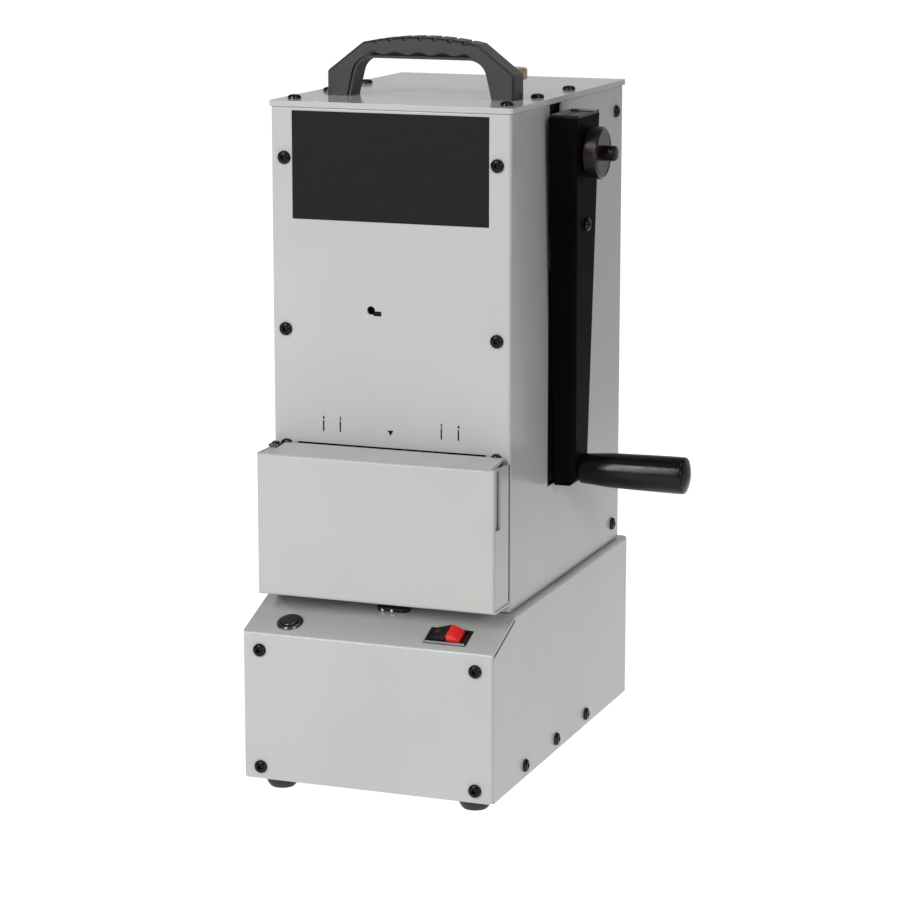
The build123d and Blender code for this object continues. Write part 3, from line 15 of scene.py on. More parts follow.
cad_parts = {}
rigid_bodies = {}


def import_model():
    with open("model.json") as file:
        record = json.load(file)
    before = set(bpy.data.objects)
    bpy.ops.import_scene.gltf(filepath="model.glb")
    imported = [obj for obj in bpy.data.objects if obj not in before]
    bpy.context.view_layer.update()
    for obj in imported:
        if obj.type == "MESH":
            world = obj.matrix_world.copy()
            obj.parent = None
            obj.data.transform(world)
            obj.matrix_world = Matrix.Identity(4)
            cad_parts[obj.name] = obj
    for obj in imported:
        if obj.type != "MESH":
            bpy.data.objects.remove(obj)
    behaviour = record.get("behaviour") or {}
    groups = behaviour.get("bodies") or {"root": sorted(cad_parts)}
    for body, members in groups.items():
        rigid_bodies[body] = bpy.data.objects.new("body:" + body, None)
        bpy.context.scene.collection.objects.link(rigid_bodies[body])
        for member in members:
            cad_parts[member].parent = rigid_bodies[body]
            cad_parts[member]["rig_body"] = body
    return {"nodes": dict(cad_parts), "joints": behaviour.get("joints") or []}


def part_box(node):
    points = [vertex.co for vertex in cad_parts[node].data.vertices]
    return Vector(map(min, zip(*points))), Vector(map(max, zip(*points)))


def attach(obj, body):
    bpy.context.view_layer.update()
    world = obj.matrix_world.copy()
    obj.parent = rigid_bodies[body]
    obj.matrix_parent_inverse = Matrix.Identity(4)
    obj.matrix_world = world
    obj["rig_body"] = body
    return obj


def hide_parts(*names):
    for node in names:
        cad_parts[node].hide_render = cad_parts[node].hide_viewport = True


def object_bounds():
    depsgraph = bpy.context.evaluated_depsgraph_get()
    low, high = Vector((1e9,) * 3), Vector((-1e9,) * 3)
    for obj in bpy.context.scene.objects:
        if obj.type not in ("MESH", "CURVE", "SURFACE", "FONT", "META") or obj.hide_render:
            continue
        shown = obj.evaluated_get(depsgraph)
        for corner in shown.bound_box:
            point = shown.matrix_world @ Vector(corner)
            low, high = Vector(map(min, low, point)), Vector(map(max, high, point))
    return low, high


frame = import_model()
nodes = frame["nodes"]
cad_box = [list(corner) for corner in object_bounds()]
MM = 0.001

# %% [markdown]
# ## Places read from the frame
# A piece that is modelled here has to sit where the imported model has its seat. So the few places that the
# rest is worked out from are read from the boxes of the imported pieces.

# %% Reference places


def middle(node):
    """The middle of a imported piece's box."""
    low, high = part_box(node)
    return (low + high) / 2


wrap_low, wrap_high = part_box("cabinet_wrap")
shell_low, shell_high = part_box("base_shell")
lid_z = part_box("top_plate")[1].z
centre_x = middle("cabinet_wrap").x
front_y = wrap_low.y
print("cabinet front at", round(front_y, 4), "middle at", round(centre_x, 4))

# %% [markdown]
# ## Camera
# The photograph was taken from the right with a long lens, a little above the machine. The camera's place
# was found by fitting the panel's ruled marks and the visible corners, so it is given from the middle of
# the cabinet's front, in metres.

# %% Camera
camera_right = 0.78597
camera_back = 1.97786
camera_height = 0.68197
camera_azimuth = 20.55
camera_elevation = 11.60
camera_lens = 123.76

bpy.ops.object.select_all(action="DESELECT")
bpy.ops.object.camera_add(
    location=(centre_x + camera_right, front_y - camera_back, camera_height),
    rotation=(radians(90 - camera_elevation), 0, radians(camera_azimuth)),
)
camera = bpy.context.object
camera.name = "photo_camera"
camera.data.lens = camera_lens
camera.data.sensor_width = 36
bpy.context.scene.camera = camera

# %% [markdown]
# ## Node helper for materials
# Every material below is built from Blender's shader nodes. One small function adds a node, sets its
# values and makes its links, so that each material reads as a short list of what lies on what. Colours
# are written as sRGB hex values, as a picture editor shows them, and one function makes them linear.

# %% Material helpers


def linear(code):
    """A linear colour from an sRGB hex value."""
    channels = [int(code[i : i + 2], 16) / 255 for i in (1, 3, 5)]
    curve = [c / 12.92 if c <= 0.04045 else ((c + 0.055) / 1.055) ** 2.4 for c in channels]
    return (*curve, 1.0)


def add_node(tree, kind, inputs=None, stops=None, **settings):
    """A node of one kind with its settings and ramp stops. An input is a value or a (node, output) link."""
    made = tree.nodes.new(kind)
    for name, value in settings.items():
        setattr(made, name, value)
    for name, value in (inputs or {}).items():
        if isinstance(value, tuple) and isinstance(value[0], bpy.types.Node):
            tree.links.new(value[0].outputs[value[1]], made.inputs[name])
        else:
            made.inputs[name].default_value = value
    if stops:
        points = made.color_ramp.elements
        while len(points) < len(stops):
            points.new(0.5)
        for point, (position, colour) in zip(points, stops):
            point.position = position
            point.color = colour
    return made


def new_material(name):
    """An empty material, its tree and its Object coordinates."""
    material = bpy.data.materials.new(name)
    material.use_nodes = True
    tree = material.node_tree
    tree.nodes.clear()
    place = add_node(tree, "ShaderNodeTexCoord")
    return material, tree, (place, "Object")


def grey(value):
    """A grey for a mask or a roughness, from 0 to 1."""
    return (value, value, value, 1.0)


def per_mm(size):
    """The Scale of a noise whose blobs are about size millimetres across."""
    return 1 / (size * MM)


# %% [markdown]
# ## Powder coat
# The cabinet is sheet steel with an epoxy and polyester powder coat in a light grey. The powder melts
# into a skin that is never quite flat: it has the fine waves called orange peel, about a millimetre or two
# across, which blur reflections. The black frame and the lever have the same coat in black, a little drier.

# %% Powder coats
ORANGE_PEEL = 1.6
COAT_GRAIN = 0.5
DRIFT = 90.0


def powder_coat(name, code, shade, gloss, peel_depth, shine=0.5):
    """Cured powder paint with orange peel and a faint drift of tone."""
    material, tree, place = new_material(name)
    drift = add_node(tree, "ShaderNodeTexNoise", {"Vector": place, "Scale": per_mm(DRIFT)})
    colour = add_node(
        tree, "ShaderNodeValToRGB", {"Fac": (drift, "Fac")}, [(0.35, linear(shade)), (0.65, linear(code))])
    peel = add_node(tree, "ShaderNodeTexNoise", {"Vector": place, "Scale": per_mm(ORANGE_PEEL)})
    grain = add_node(tree, "ShaderNodeTexNoise", {"Vector": place, "Scale": per_mm(COAT_GRAIN)})
    cloud = add_node(tree, "ShaderNodeValToRGB", {"Fac": (peel, "Fac")}, [
        (0.3, grey(gloss - 0.03)), (0.7, grey(gloss + 0.03))])
    fine = add_node(tree, "ShaderNodeBump", {"Height": (grain, "Fac"), "Distance": peel_depth / 4 * MM})
    skin = add_node(tree, "ShaderNodeBump", {
        "Height": (peel, "Fac"), "Distance": peel_depth * MM, "Normal": (fine, "Normal")})
    shader = add_node(tree, "ShaderNodeBsdfPrincipled", {
        "Base Color": (colour, "Color"), "Roughness": (cloud, "Color"), "Normal": (skin, "Normal"),
        "Specular IOR Level": shine})
    add_node(tree, "ShaderNodeOutputMaterial", {"Surface": (shader, "BSDF")})
    return material


# Light grey, with a satin gloss that mirrors dark things softly.
cabinet_paint = powder_coat("light_grey_powder_coat", "#ADAFAC", "#A9ABA8", 0.24, 0.010, 0.4)
# The lid lies flat in the oven, so its coat flows out smoother and mirrors the handle's legs.
lid_paint = powder_coat("light_grey_powder_coat_level", "#ADAFAC", "#A9ABA8", 0.15, 0.004)
# Black and matt, so that it stays deep next to the pale sheet.
black_paint = powder_coat("black_powder_coat", "#0D0C0D", "#080708", 0.50, 0.02, 0.02)
# The same black with more gloss, on the lever's small lid, which mirrors the pale wall behind.
black_satin = powder_coat("black_powder_coat_satin", "#111011", "#0D0C0D", 0.30, 0.008)
# Charcoal, for the motor and the gearbox, which are seen only through the mouth.
motor_paint = powder_coat("charcoal_enamel", "#3A3B3D", "#343537", 0.50, 0.02)

# %% [markdown]
# ## Black oxide steel
# Screws, the lock knob and the shaft are steel that is blackened in a hot salt bath and oiled. The skin is
# only a micrometre thick, so it keeps the metal's shine: dark grey, slightly brown, and rubbed brighter on
# the edges, which is drawn here by how much the surface's curve points outwards.

# %% Black oxide steel


def black_oxide(name, code, worn, gloss):
    """Blackened steel, a little brighter where it is rubbed."""
    material, tree, place = new_material(name)
    geometry = add_node(tree, "ShaderNodeNewGeometry")
    rubbed = add_node(
        tree, "ShaderNodeValToRGB", {"Fac": (geometry, "Pointiness")}, [(0.52, grey(0.0)), (0.60, grey(1.0))])
    blotch = add_node(tree, "ShaderNodeTexNoise", {"Vector": place, "Scale": per_mm(3.0), "Detail": 4.0})
    amount = add_node(
        tree, "ShaderNodeMath", {0: (rubbed, "Color"), 1: (blotch, "Fac")}, operation="MULTIPLY")
    colour = add_node(
        tree, "ShaderNodeValToRGB", {"Fac": (amount, "Value")}, [(0.0, linear(code)), (0.6, linear(worn))])
    cloud = add_node(tree, "ShaderNodeValToRGB", {"Fac": (blotch, "Fac")}, [
        (0.3, grey(gloss - 0.06)), (0.7, grey(gloss + 0.08))])
    fine = add_node(tree, "ShaderNodeTexNoise", {"Vector": place, "Scale": per_mm(0.35)})
    bump = add_node(tree, "ShaderNodeBump", {"Height": (fine, "Fac"), "Distance": 0.004 * MM})
    shader = add_node(tree, "ShaderNodeBsdfPrincipled", {
        "Base Color": (colour, "Color"), "Metallic": 1.0, "Roughness": (cloud, "Color"),
        "Normal": (bump, "Normal")})
    add_node(tree, "ShaderNodeOutputMaterial", {"Surface": (shader, "BSDF")})
    return material


# Neutral black with small hard glints, as an oiled screw has.
screw_steel = black_oxide("black_oxide_screw_steel", "#232223", "#6A6866", 0.26)
# A shade browner and lighter on the diamonds of the knurl, where hands rub it.
knob_steel = black_oxide("black_oxide_knurled_steel", "#211D1B", "#6E6762", 0.36)
# The knob's turned face, polished through to grey.
face_steel = black_oxide("polished_knob_face", "#5A5856", "#A8A5A2", 0.26)

# %% [markdown]
# ## Bare metals
# A ground, turned or brushed part has fine lines from the tool that made it. They stretch the highlight
# across the lines. The lines are noise that is pressed thin along one axis and drawn about a third of a
# millimetre apart, which is coarser than a real grind and just wide enough to be seen.

# %% Bare metals
GRIND_SPACING = 0.35


def ground_metal(name, code, dark, gloss, along, length=12.0, depth=0.003):
    """Metal with tool lines along one axis."""
    material, tree, place = new_material(name)
    stretch = [per_mm(GRIND_SPACING)] * 3
    stretch["XYZ".index(along)] = per_mm(length)
    lines_at = add_node(tree, "ShaderNodeMapping", {"Vector": place, "Scale": stretch})
    lines = add_node(
        tree, "ShaderNodeTexNoise", {"Vector": (lines_at, "Vector"), "Scale": 1.0, "Detail": 3.0})
    stain = add_node(tree, "ShaderNodeTexNoise", {"Vector": place, "Scale": per_mm(14.0), "Detail": 3.0})
    both = add_node(tree, "ShaderNodeMath", {0: (lines, "Fac"), 1: (stain, "Fac")}, operation="MULTIPLY")
    colour = add_node(
        tree, "ShaderNodeValToRGB", {"Fac": (both, "Value")}, [(0.12, linear(dark)), (0.4, linear(code))])
    cloud = add_node(tree, "ShaderNodeValToRGB", {"Fac": (lines, "Fac")}, [
        (0.3, grey(gloss - 0.07)), (0.7, grey(gloss + 0.07))])
    bump = add_node(tree, "ShaderNodeBump", {"Height": (lines, "Fac"), "Distance": depth * MM})
    shader = add_node(tree, "ShaderNodeBsdfPrincipled", {
        "Base Color": (colour, "Color"), "Metallic": 1.0, "Roughness": (cloud, "Color"),
        "Normal": (bump, "Normal")})
    add_node(tree, "ShaderNodeOutputMaterial", {"Surface": (shader, "BSDF")})
    return material


tool_steel = ground_metal("ground_tool_steel", "#B9BABB", "#8E8F90", 0.30, "Y")
ram_steel = ground_metal("ground_ram_steel", "#BDBEBF", "#929394", 0.26, "Z")
gear_steel = ground_metal("hobbed_gear_steel", "#8F8D8A", "#5E5C5A", 0.38, "X")
zinc_plate = ground_metal("zinc_plated_steel", "#C3C5C6", "#9EA1A4", 0.36, "Y", 40.0)
bush_bronze = ground_metal("sintered_bronze", "#B08A54", "#7E6138", 0.42, "X")
tray_metal = ground_metal("clear_anodised_aluminium", "#C9CBCC", "#B2B4B6", 0.34, "Y", 30.0)
button_steel = ground_metal("dark_brushed_stainless_steel", "#7C7B79", "#5B5A58", 0.22, "X", 9.0)
ring_nickel = ground_metal("nickel_plated_brass", "#C9C4B8", "#A39C8D", 0.22, "Z", 6.0)
cap_brass = ground_metal("worn_brass", "#CFC498", "#A1946A", 0.30, "X", 8.0)
contact_metal = ground_metal("bright_contact_steel", "#E4E4E2", "#CFCFCC", 0.16, "Z", 2.0)

# %% [markdown]
# ## Plastics and rubber
# The carry handle is moulded from black nylon with a fine spark eroded grain. The crank's grip is a hard
# black phenolic, polished in its mould and scuffed by hands. The rocker's red half is a clear moulding, so
# a little light passes into it. The feet are plain black rubber.

# %% Plastics and rubber


def moulded_plastic(name, deep, pale, gloss, grain, depth, scuff=0.05, shine=0.5, more=None):
    """Moulded plastic with its mould's grain and soft scuffing."""
    material, tree, place = new_material(name)
    fine = add_node(tree, "ShaderNodeTexNoise", {"Vector": place, "Scale": per_mm(grain)})
    rubbed = add_node(tree, "ShaderNodeTexNoise", {"Vector": place, "Scale": per_mm(9.0), "Detail": 5.0})
    cloud = add_node(tree, "ShaderNodeValToRGB", {"Fac": (rubbed, "Fac")}, [
        (0.35, grey(gloss)), (0.7, grey(gloss + scuff))])
    tone = add_node(
        tree, "ShaderNodeValToRGB", {"Fac": (rubbed, "Fac")}, [(0.3, linear(deep)), (0.75, linear(pale))])
    bump = add_node(tree, "ShaderNodeBump", {"Height": (fine, "Fac"), "Distance": depth * MM})
    shader = add_node(tree, "ShaderNodeBsdfPrincipled", {
        "Base Color": (tone, "Color"), "Roughness": (cloud, "Color"), "Normal": (bump, "Normal"),
        "Specular IOR Level": shine, **(more or {})})
    add_node(tree, "ShaderNodeOutputMaterial", {"Surface": (shader, "BSDF")})
    return material


# The handle's spark eroded grain scatters the light, so it is a soft charcoal and never a mirror.
handle_nylon = moulded_plastic("black_moulded_nylon", "#1D1C1E", "#262527", 0.42, 0.45, 0.03)
# The grip is polished in its mould and gives one long clear highlight, dulled in patches by hands.
grip_phenolic = moulded_plastic("black_phenolic", "#0A090A", "#121112", 0.19, 1.2, 0.003, 0.10, 0.22)
switch_nylon = moulded_plastic("black_switch_nylon", "#0D0D0E", "#131314", 0.26, 0.4, 0.005, shine=0.4)
# A clear red moulding: light goes a few millimetres into it, which keeps its shaded side warm.
rocker_red = moulded_plastic(
    "clear_red_polycarbonate", "#E01510", "#F0241C", 0.16, 1.0, 0.003,
    more={"Subsurface Weight": 0.3, "Subsurface Radius": (0.004, 0.0006, 0.0005), "Coat Weight": 0.4})
foot_rubber = moulded_plastic("black_rubber", "#121212", "#191919", 0.55, 0.6, 0.02)
belt_rubber = moulded_plastic("neoprene_belt", "#161616", "#1E1E1E", 0.58, 0.5, 0.02)
# A satin film, nearly black with a breath of violet, that hides most of what it faces.
label_film = moulded_plastic("black_label_film", "#141215", "#171518", 0.34, 1.0, 0.002, shine=0.12)
print_ink = moulded_plastic("black_screen_ink", "#0A0A0B", "#0E0E10", 0.5, 0.3, 0.004, shine=0.1)
switch_ink = moulded_plastic("dull_red_pad_print", "#8E2421", "#9C2B27", 0.5, 0.3, 0.004)
# The flag is coloured black so that the sight hole reads dark: the black paints the shade in the hole.
flag_painted_shade = moulded_plastic("black_flag_painted_shade", "#0D0D0E", "#121213", 0.6, 0.8, 0.006, shine=0.1)
board_epoxy = moulded_plastic("green_circuit_board", "#1E5B34", "#24683C", 0.35, 1.5, 0.01)

# %% [markdown]
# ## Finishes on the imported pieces
# A folded sheet never has a knife edge: the coat and the shear both round it a little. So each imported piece
# that stays as it is gets a dressed copy. The copy's loose triangles are merged, flat faces are joined
# again, and a Bevel modifier softens only the sharp edges. The thin bevel is what catches the light.

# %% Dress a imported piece


def select_only(piece):
    """Makes one object the only selected and the active one."""
    bpy.ops.object.select_all(action="DESELECT")
    piece.hide_set(False)
    piece.select_set(True)
    bpy.context.view_layer.objects.active = piece


def soften(piece, smooth=35):
    """Smooths a piece across its shallow edges, with the large faces kept flat."""
    select_only(piece)
    bpy.ops.object.shade_smooth_by_angle(angle=radians(smooth))
    flatten = piece.modifiers.new("flat_faces_lead", "WEIGHTED_NORMAL")
    flatten.keep_sharp = True
    bpy.ops.object.modifier_apply(modifier=flatten.name)


def settle(piece, material, body, name=None, smooth=35):
    """Applies a piece's place and modifiers, smooths it and lets it ride."""
    select_only(piece)
    for modifier in list(piece.modifiers):
        bpy.ops.object.modifier_apply(modifier=modifier.name)
    bpy.ops.object.transform_apply(location=True, rotation=True, scale=True)
    soften(piece, smooth)
    piece.data.materials.clear()
    piece.data.materials.append(material)
    if name:
        piece.name = name
        piece.data.name = name
    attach(piece, body)
    return piece


def dress(node, material, width=0.25, segments=2, flat=0.5):
    """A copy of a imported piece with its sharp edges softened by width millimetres."""
    source = nodes[node]
    body = source["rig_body"]
    piece = bpy.data.objects.new(f"{node}_finish", source.data.copy())
    bpy.context.scene.collection.objects.link(piece)
    select_only(piece)
    bpy.ops.mesh.customdata_custom_splitnormals_clear()
    bpy.ops.object.mode_set(mode="EDIT")
    bpy.ops.mesh.select_all(action="SELECT")
    bpy.ops.mesh.remove_doubles(threshold=0.002 * MM)
    bpy.ops.mesh.dissolve_limited(angle_limit=radians(flat))
    bpy.ops.object.mode_set(mode="OBJECT")
    if width:
        bevel = piece.modifiers.new("edge", "BEVEL")
        bevel.width = width * MM
        bevel.segments = segments
        bevel.limit_method = "ANGLE"
        bevel.angle_limit = radians(32)
        bevel.harden_normals = False
    settle(piece, material, body)
    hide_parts(node)
    return piece


DRESSED = [
    (cabinet_paint, 0.3, ["base_shell", "base_rear_panel", "cabinet_wrap", "cabinet_rear_panel", "door_pan"]),
    (lid_paint, 0.6, ["top_plate"]),
    (black_paint, 0.4, ["crank_arm", "frame_plate_left", "frame_plate_right", "upper_guide", "back_plate"]),
    (zinc_plate, 0.2, ["base_floor", "corner_posts", "motor_bracket"]),
    (tool_steel, 0.4, ["bed_plate", "head_block", "motor_pulley", "crank_pulley"]),
    (tool_steel, 0.2, ["punch", "gear_shaft", "output_shaft"]),
    (ram_steel, 0.2, ["ram"]),
    (gear_steel, 0.1, ["crank_pinion", "reduction_gear", "rack_pinion"]),
    (bush_bronze, 0.2, ["shaft_bushes"]),
    (tray_metal, 0.5, ["drive_support"]),
    (label_film, 0.1, ["label_plate"]),
    (screw_steel, 0.2, ["crank_hub", "grip_spindle", "hinge_leaves", "foot_screws", "handle_screws"]),
    (screw_steel, 0.15, ["hinge_pins"]),
    # The ready flag gets the black that paints the sight hole's shade.
    (flag_painted_shade, 0.2, ["ready_flag"]),
    (switch_nylon, 0.3, ["switch_bezel", "power_rocker", "power_inlet", "door_latch"]),
    (rocker_red, 0.35, ["rocker_lens"]),
    (button_steel, 0.2, ["button_nut"]),
    (contact_metal, 0.1, ["latch_pins"]),
    (motor_paint, 0.5, ["gearmotor", "motor_can"]),
    (tray_metal, 0.5, ["power_supply"]),
    (board_epoxy, 0.2, ["control_board"]),
    (belt_rubber, 0.3, ["drive_belt"]),
]
for finish, edge, members in DRESSED:
    for member in members:
        dress(member, finish, edge)
print("dressed", sum(len(members) for finish, edge, members in DRESSED))

# %% [markdown]
# ## The door's pull tab
# Behind the pull notch in the door's right lip stands a small tab of the same sheet. In the photograph it
# lies close behind the lip and fills the notch with a pale strip, so the dressed copy's tab is moved out
# towards the lip until only a thin dark line is left between them.

# %% Move the tab
TAB_NEAR, TAB_FAR = 3.3, 8.5
TAB_BEHIND = 1.0
TAB_ABOVE, TAB_BELOW = 3.0, 3.6
TAB_SHIFT = 2.2
door = bpy.data.objects["door_pan_finish"]
door_low, door_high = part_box("door_pan")
moved = 0
for vertex in door.data.vertices:
    inside = (door_high.x - vertex.co.x) / MM
    behind = (vertex.co.y - door_low.y) / MM
    in_height = door_low.z + TAB_ABOVE * MM < vertex.co.z < door_high.z - TAB_BELOW * MM
    if TAB_NEAR < inside < TAB_FAR and behind > TAB_BEHIND and in_height:
        vertex.co.x += TAB_SHIFT * MM
        moved += 1
soften(door)
print("tab points moved", moved)

# %% [markdown]
# ## Seams
# Where one sheet meets another, the machine shows thin lines that are nearly black, and they draw its
# shape. The cabinet's sheets end a little above the deck here, which leaves a slit with no light in it. The
# slit beside the slope is opened until it shows, and holds a black strip, sunk a little, that paints the
# slit's shade. Such a black strip of painted shade also stands in the gap behind the door's lip.

# %% Open the slit under the cabinet
DECK_SLIT = 0.8
EDGE_BAND = 0.4
for node in ("cabinet_wrap", "cabinet_rear_panel"):
    lifted = bpy.data.objects[f"{node}_finish"]
    foot_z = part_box(node)[0].z
    for vertex in lifted.data.vertices:
        if vertex.co.z < foot_z + EDGE_BAND * MM:
            vertex.co.z += DECK_SLIT * MM
    soften(lifted)

# %% Open the slit beside the slope
SLIT_FROM, SLIT_TO = 2.5, 45.5
SLIT_LIP, SLIT_RISE = 19.4, 15.8
SLIT_OPEN = 1.2
LIP_BAND, LIP_SHEET, LIP_ENDS = 0.42, 2.0, 0.6
shell = bpy.data.objects["base_shell_finish"]
opened = 0
for vertex in shell.data.vertices:
    along_slope = (vertex.co.y - shell_low.y) / MM
    share = (along_slope - SLIT_FROM) / (SLIT_TO - SLIT_FROM)
    lip = shell_high.z / MM - SLIT_LIP + SLIT_RISE * share
    on_lip = abs(vertex.co.z / MM - lip) < LIP_BAND and vertex.co.x > shell_high.x - LIP_SHEET * MM
    if on_lip and SLIT_FROM - LIP_ENDS < along_slope < SLIT_TO + LIP_ENDS:
        vertex.co.z -= SLIT_OPEN * MM
        opened += 1
soften(shell)
print("lip points lowered", opened)

# %% Lay the black strips of painted shade
STRIP_ROUND = 0.2
STRIP_HEIGHT = 2.1
STRIP_CLEAR = 0.05
STRIP_DEPTH, STRIP_SUNK = 1.5, 0.15
# The strip in the gap behind the door's lip, which paints that gap's shade:
GAP_STRIP_PROUD, GAP_STRIP_BEHIND = 2.5, 0.9
GAP_STRIP_FROM, GAP_STRIP_TO = 1.9, 0.45
GAP_STRIP_LOW, GAP_STRIP_TOP = 2.5, 5.0


def block(low, high):
    """A cube stretched between two corners, to start from."""
    bpy.ops.object.select_all(action="DESELECT")
    bpy.ops.mesh.primitive_cube_add(size=1, location=(low + high) / 2)
    piece = bpy.context.object
    piece.scale = high - low
    bpy.ops.object.transform_apply(location=True, scale=True)
    return piece


def strip(name, low, high, rise=0.0):
    """A black strip that paints a seam's shade, between two corners, its far end raised, with its edges
    rounded.
    """
    piece = block(low, high)
    for vertex in piece.data.vertices:
        if vertex.co.y > (low.y + high.y) / 2:
            vertex.co.z += rise
    rim = piece.modifiers.new("rim", "BEVEL")
    rim.width = STRIP_ROUND * MM
    rim.segments = 2
    # The feet's black rubber finish serves here as the seam's painted shade.
    settle(piece, foot_rubber, "chassis", name)
    return piece


# Painted shade: one black strip fills the slit beside the slope, and one fills the gap behind the door's lip.
slit_low = shell_high.z - (SLIT_LIP + SLIT_OPEN - STRIP_CLEAR) * MM
strip(
    "slope_seam_shade_strip",
    Vector((shell_high.x - STRIP_DEPTH * MM, shell_low.y + SLIT_FROM * MM, slit_low)),
    Vector((shell_high.x - STRIP_SUNK * MM, shell_low.y + SLIT_TO * MM, slit_low + STRIP_HEIGHT * MM)),
    SLIT_RISE * MM)
strip(
    "door_gap_shade_strip",
    Vector((wrap_high.x - GAP_STRIP_FROM * MM, front_y - GAP_STRIP_PROUD * MM, door_low.z + GAP_STRIP_LOW * MM)),
    Vector((wrap_high.x - GAP_STRIP_TO * MM, front_y + GAP_STRIP_BEHIND * MM, door_high.z - GAP_STRIP_TOP * MM)))

# %% [markdown]
# ## Turned pieces
# Knobs, feet, caps and grips come off a lathe or out of a round mould. A disc is drawn up through a list of
# rings, each with a height and a radius, as a potter pulls a wall: extrude, then scale. It is modelled
# standing on its own axis and then laid where it belongs.

# %% Turn a piece from rings
ALONG_X = Matrix.Rotation(radians(90), 4, "Y")
ALONG_Z = Matrix.Identity(4)


def turned(name, rings, vertices=64):
    """A closed turned solid from (height, radius) rings in millimetres, standing on its axis."""
    bpy.ops.object.select_all(action="DESELECT")
    start_height, start_radius = rings[0]
    bpy.ops.mesh.primitive_circle_add(
        vertices=vertices, radius=start_radius * MM, fill_type="NGON", location=(0, 0, start_height * MM))
    piece = bpy.context.object
    piece.name = name
    bpy.ops.object.transform_apply(location=True)
    bpy.ops.object.mode_set(mode="EDIT")
    bpy.ops.mesh.select_all(action="SELECT")
    for (height, radius), (next_height, next_radius) in zip(rings, rings[1:]):
        rise = (next_height - height) * MM
        bpy.ops.mesh.extrude_region_move(TRANSFORM_OT_translate={"value": (0, 0, rise)})
        grow = next_radius / radius
        if abs(grow - 1) > 1e-6:
            centre = (0, 0, next_height * MM)
            bpy.ops.transform.resize(value=(grow, grow, 1), center_override=centre)
    bpy.ops.mesh.select_all(action="SELECT")
    bpy.ops.mesh.normals_make_consistent(inside=False)
    bpy.ops.object.mode_set(mode="OBJECT")
    return piece


def arc_rings(centre, radius, first, last, steps, inset=0.0):
    """Rings along an arc in the height and radius plane, angles in degrees from the outward direction."""
    rings = []
    for step in range(steps + 1):
        angle = radians(first + (last - first) * step / steps)
        rings.append((centre[0] + radius * sin(angle), centre[1] + radius * cos(angle) - inset))
    return rings


def lay(piece, turn, place):
    """Turns a piece about the origin and moves it to its place."""
    piece.data.transform(Matrix.Translation(place) @ turn)
    return piece


def joined(pieces):
    """Several objects made one, which is the first of them."""
    select_only(pieces[0])
    for piece in pieces:
        piece.select_set(True)
    bpy.ops.object.join()
    return pieces[0]


# %% [markdown]
# ## Button head screws
# All the covers are held by the same black button head screw with a hexagon socket. One head is modelled:
# a low dome drawn up through an arc of rings, with a six sided prism cut out of it. It is then copied onto
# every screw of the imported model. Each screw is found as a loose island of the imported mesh.

# %% Model one screw head
HEAD_RADIUS = 4.75
HEAD_HEIGHT = 2.75
HEAD_RIM = 0.7
SOCKET_FLATS = 3.2
SOCKET_DEPTH = 1.9


def cut_away(piece, tool):
    """Takes a tool's shape away from a piece, and removes the tool."""
    cut = piece.modifiers.new("cut", "BOOLEAN")
    cut.operation = "DIFFERENCE"
    cut.object = tool
    cut.solver = "EXACT"
    select_only(piece)
    bpy.ops.object.modifier_apply(modifier=cut.name)
    bpy.data.objects.remove(tool)


dome_height = HEAD_HEIGHT - HEAD_RIM
dome_top = 2.3
dome_steps = 6
rings = [(0, HEAD_RADIUS - 0.15), (0.15, HEAD_RADIUS)]
for step in range(dome_steps + 1):
    angle = radians(90 * step / dome_steps)
    rings.append((HEAD_RIM + dome_height * sin(angle), dome_top + (HEAD_RADIUS - dome_top) * cos(angle)))
head_model = turned("screw_head", rings, 48)
bpy.ops.mesh.primitive_cylinder_add(
    vertices=6, radius=SOCKET_FLATS / sqrt(3) * MM, depth=2 * SOCKET_DEPTH * MM,
    location=(0, 0, HEAD_HEIGHT * MM))
cut_away(head_model, bpy.context.object)

# %% Copy the head onto every screw


def islands(node):
    """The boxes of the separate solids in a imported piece."""
    mesh = nodes[node].data
    keys = [tuple(round(c, 5) for c in vertex.co) for vertex in mesh.vertices]
    group = {key: key for key in keys}

    def root(key):
        while group[key] != key:
            group[key] = group[group[key]]
            key = group[key]
        return key

    for face in mesh.polygons:
        corner_keys = [keys[i] for i in face.vertices]
        for other in corner_keys[1:]:
            group[root(other)] = root(corner_keys[0])
    solids = {}
    for key in set(keys):
        solids.setdefault(root(key), []).append(key)
    boxes = []
    for points in solids.values():
        low = Vector([min(p[i] for p in points) for i in range(3)])
        high = Vector([max(p[i] for p in points) for i in range(3)])
        boxes.append((low, high))
    return sorted(boxes, key=lambda box: tuple(box[0]))


def head_place(low, high):
    """Where a screw's head sits and which way it points, from the screw's box."""
    size = high - low
    axis = max(range(3), key=lambda i: abs(size[i] - 2 * HEAD_RADIUS * MM))
    whole = Vector(cad_box[0]) * 0.5 + Vector(cad_box[1]) * 0.5
    whole.x = centre_x
    way = 1 if axis == 2 or (low + high)[axis] / 2 > whole[axis] else -1
    seat = (low + high) / 2
    seat[axis] = high[axis] - HEAD_HEIGHT * MM if way > 0 else low[axis] + HEAD_HEIGHT * MM
    normal = Vector([way if i == axis else 0 for i in range(3)])
    return seat, normal


def new_head(turn, seat):
    """A copy of the modelled head, turned and laid on its seat."""
    head = head_model.copy()
    head.data = head_model.data.copy()
    bpy.context.scene.collection.objects.link(head)
    return lay(head, turn, seat)


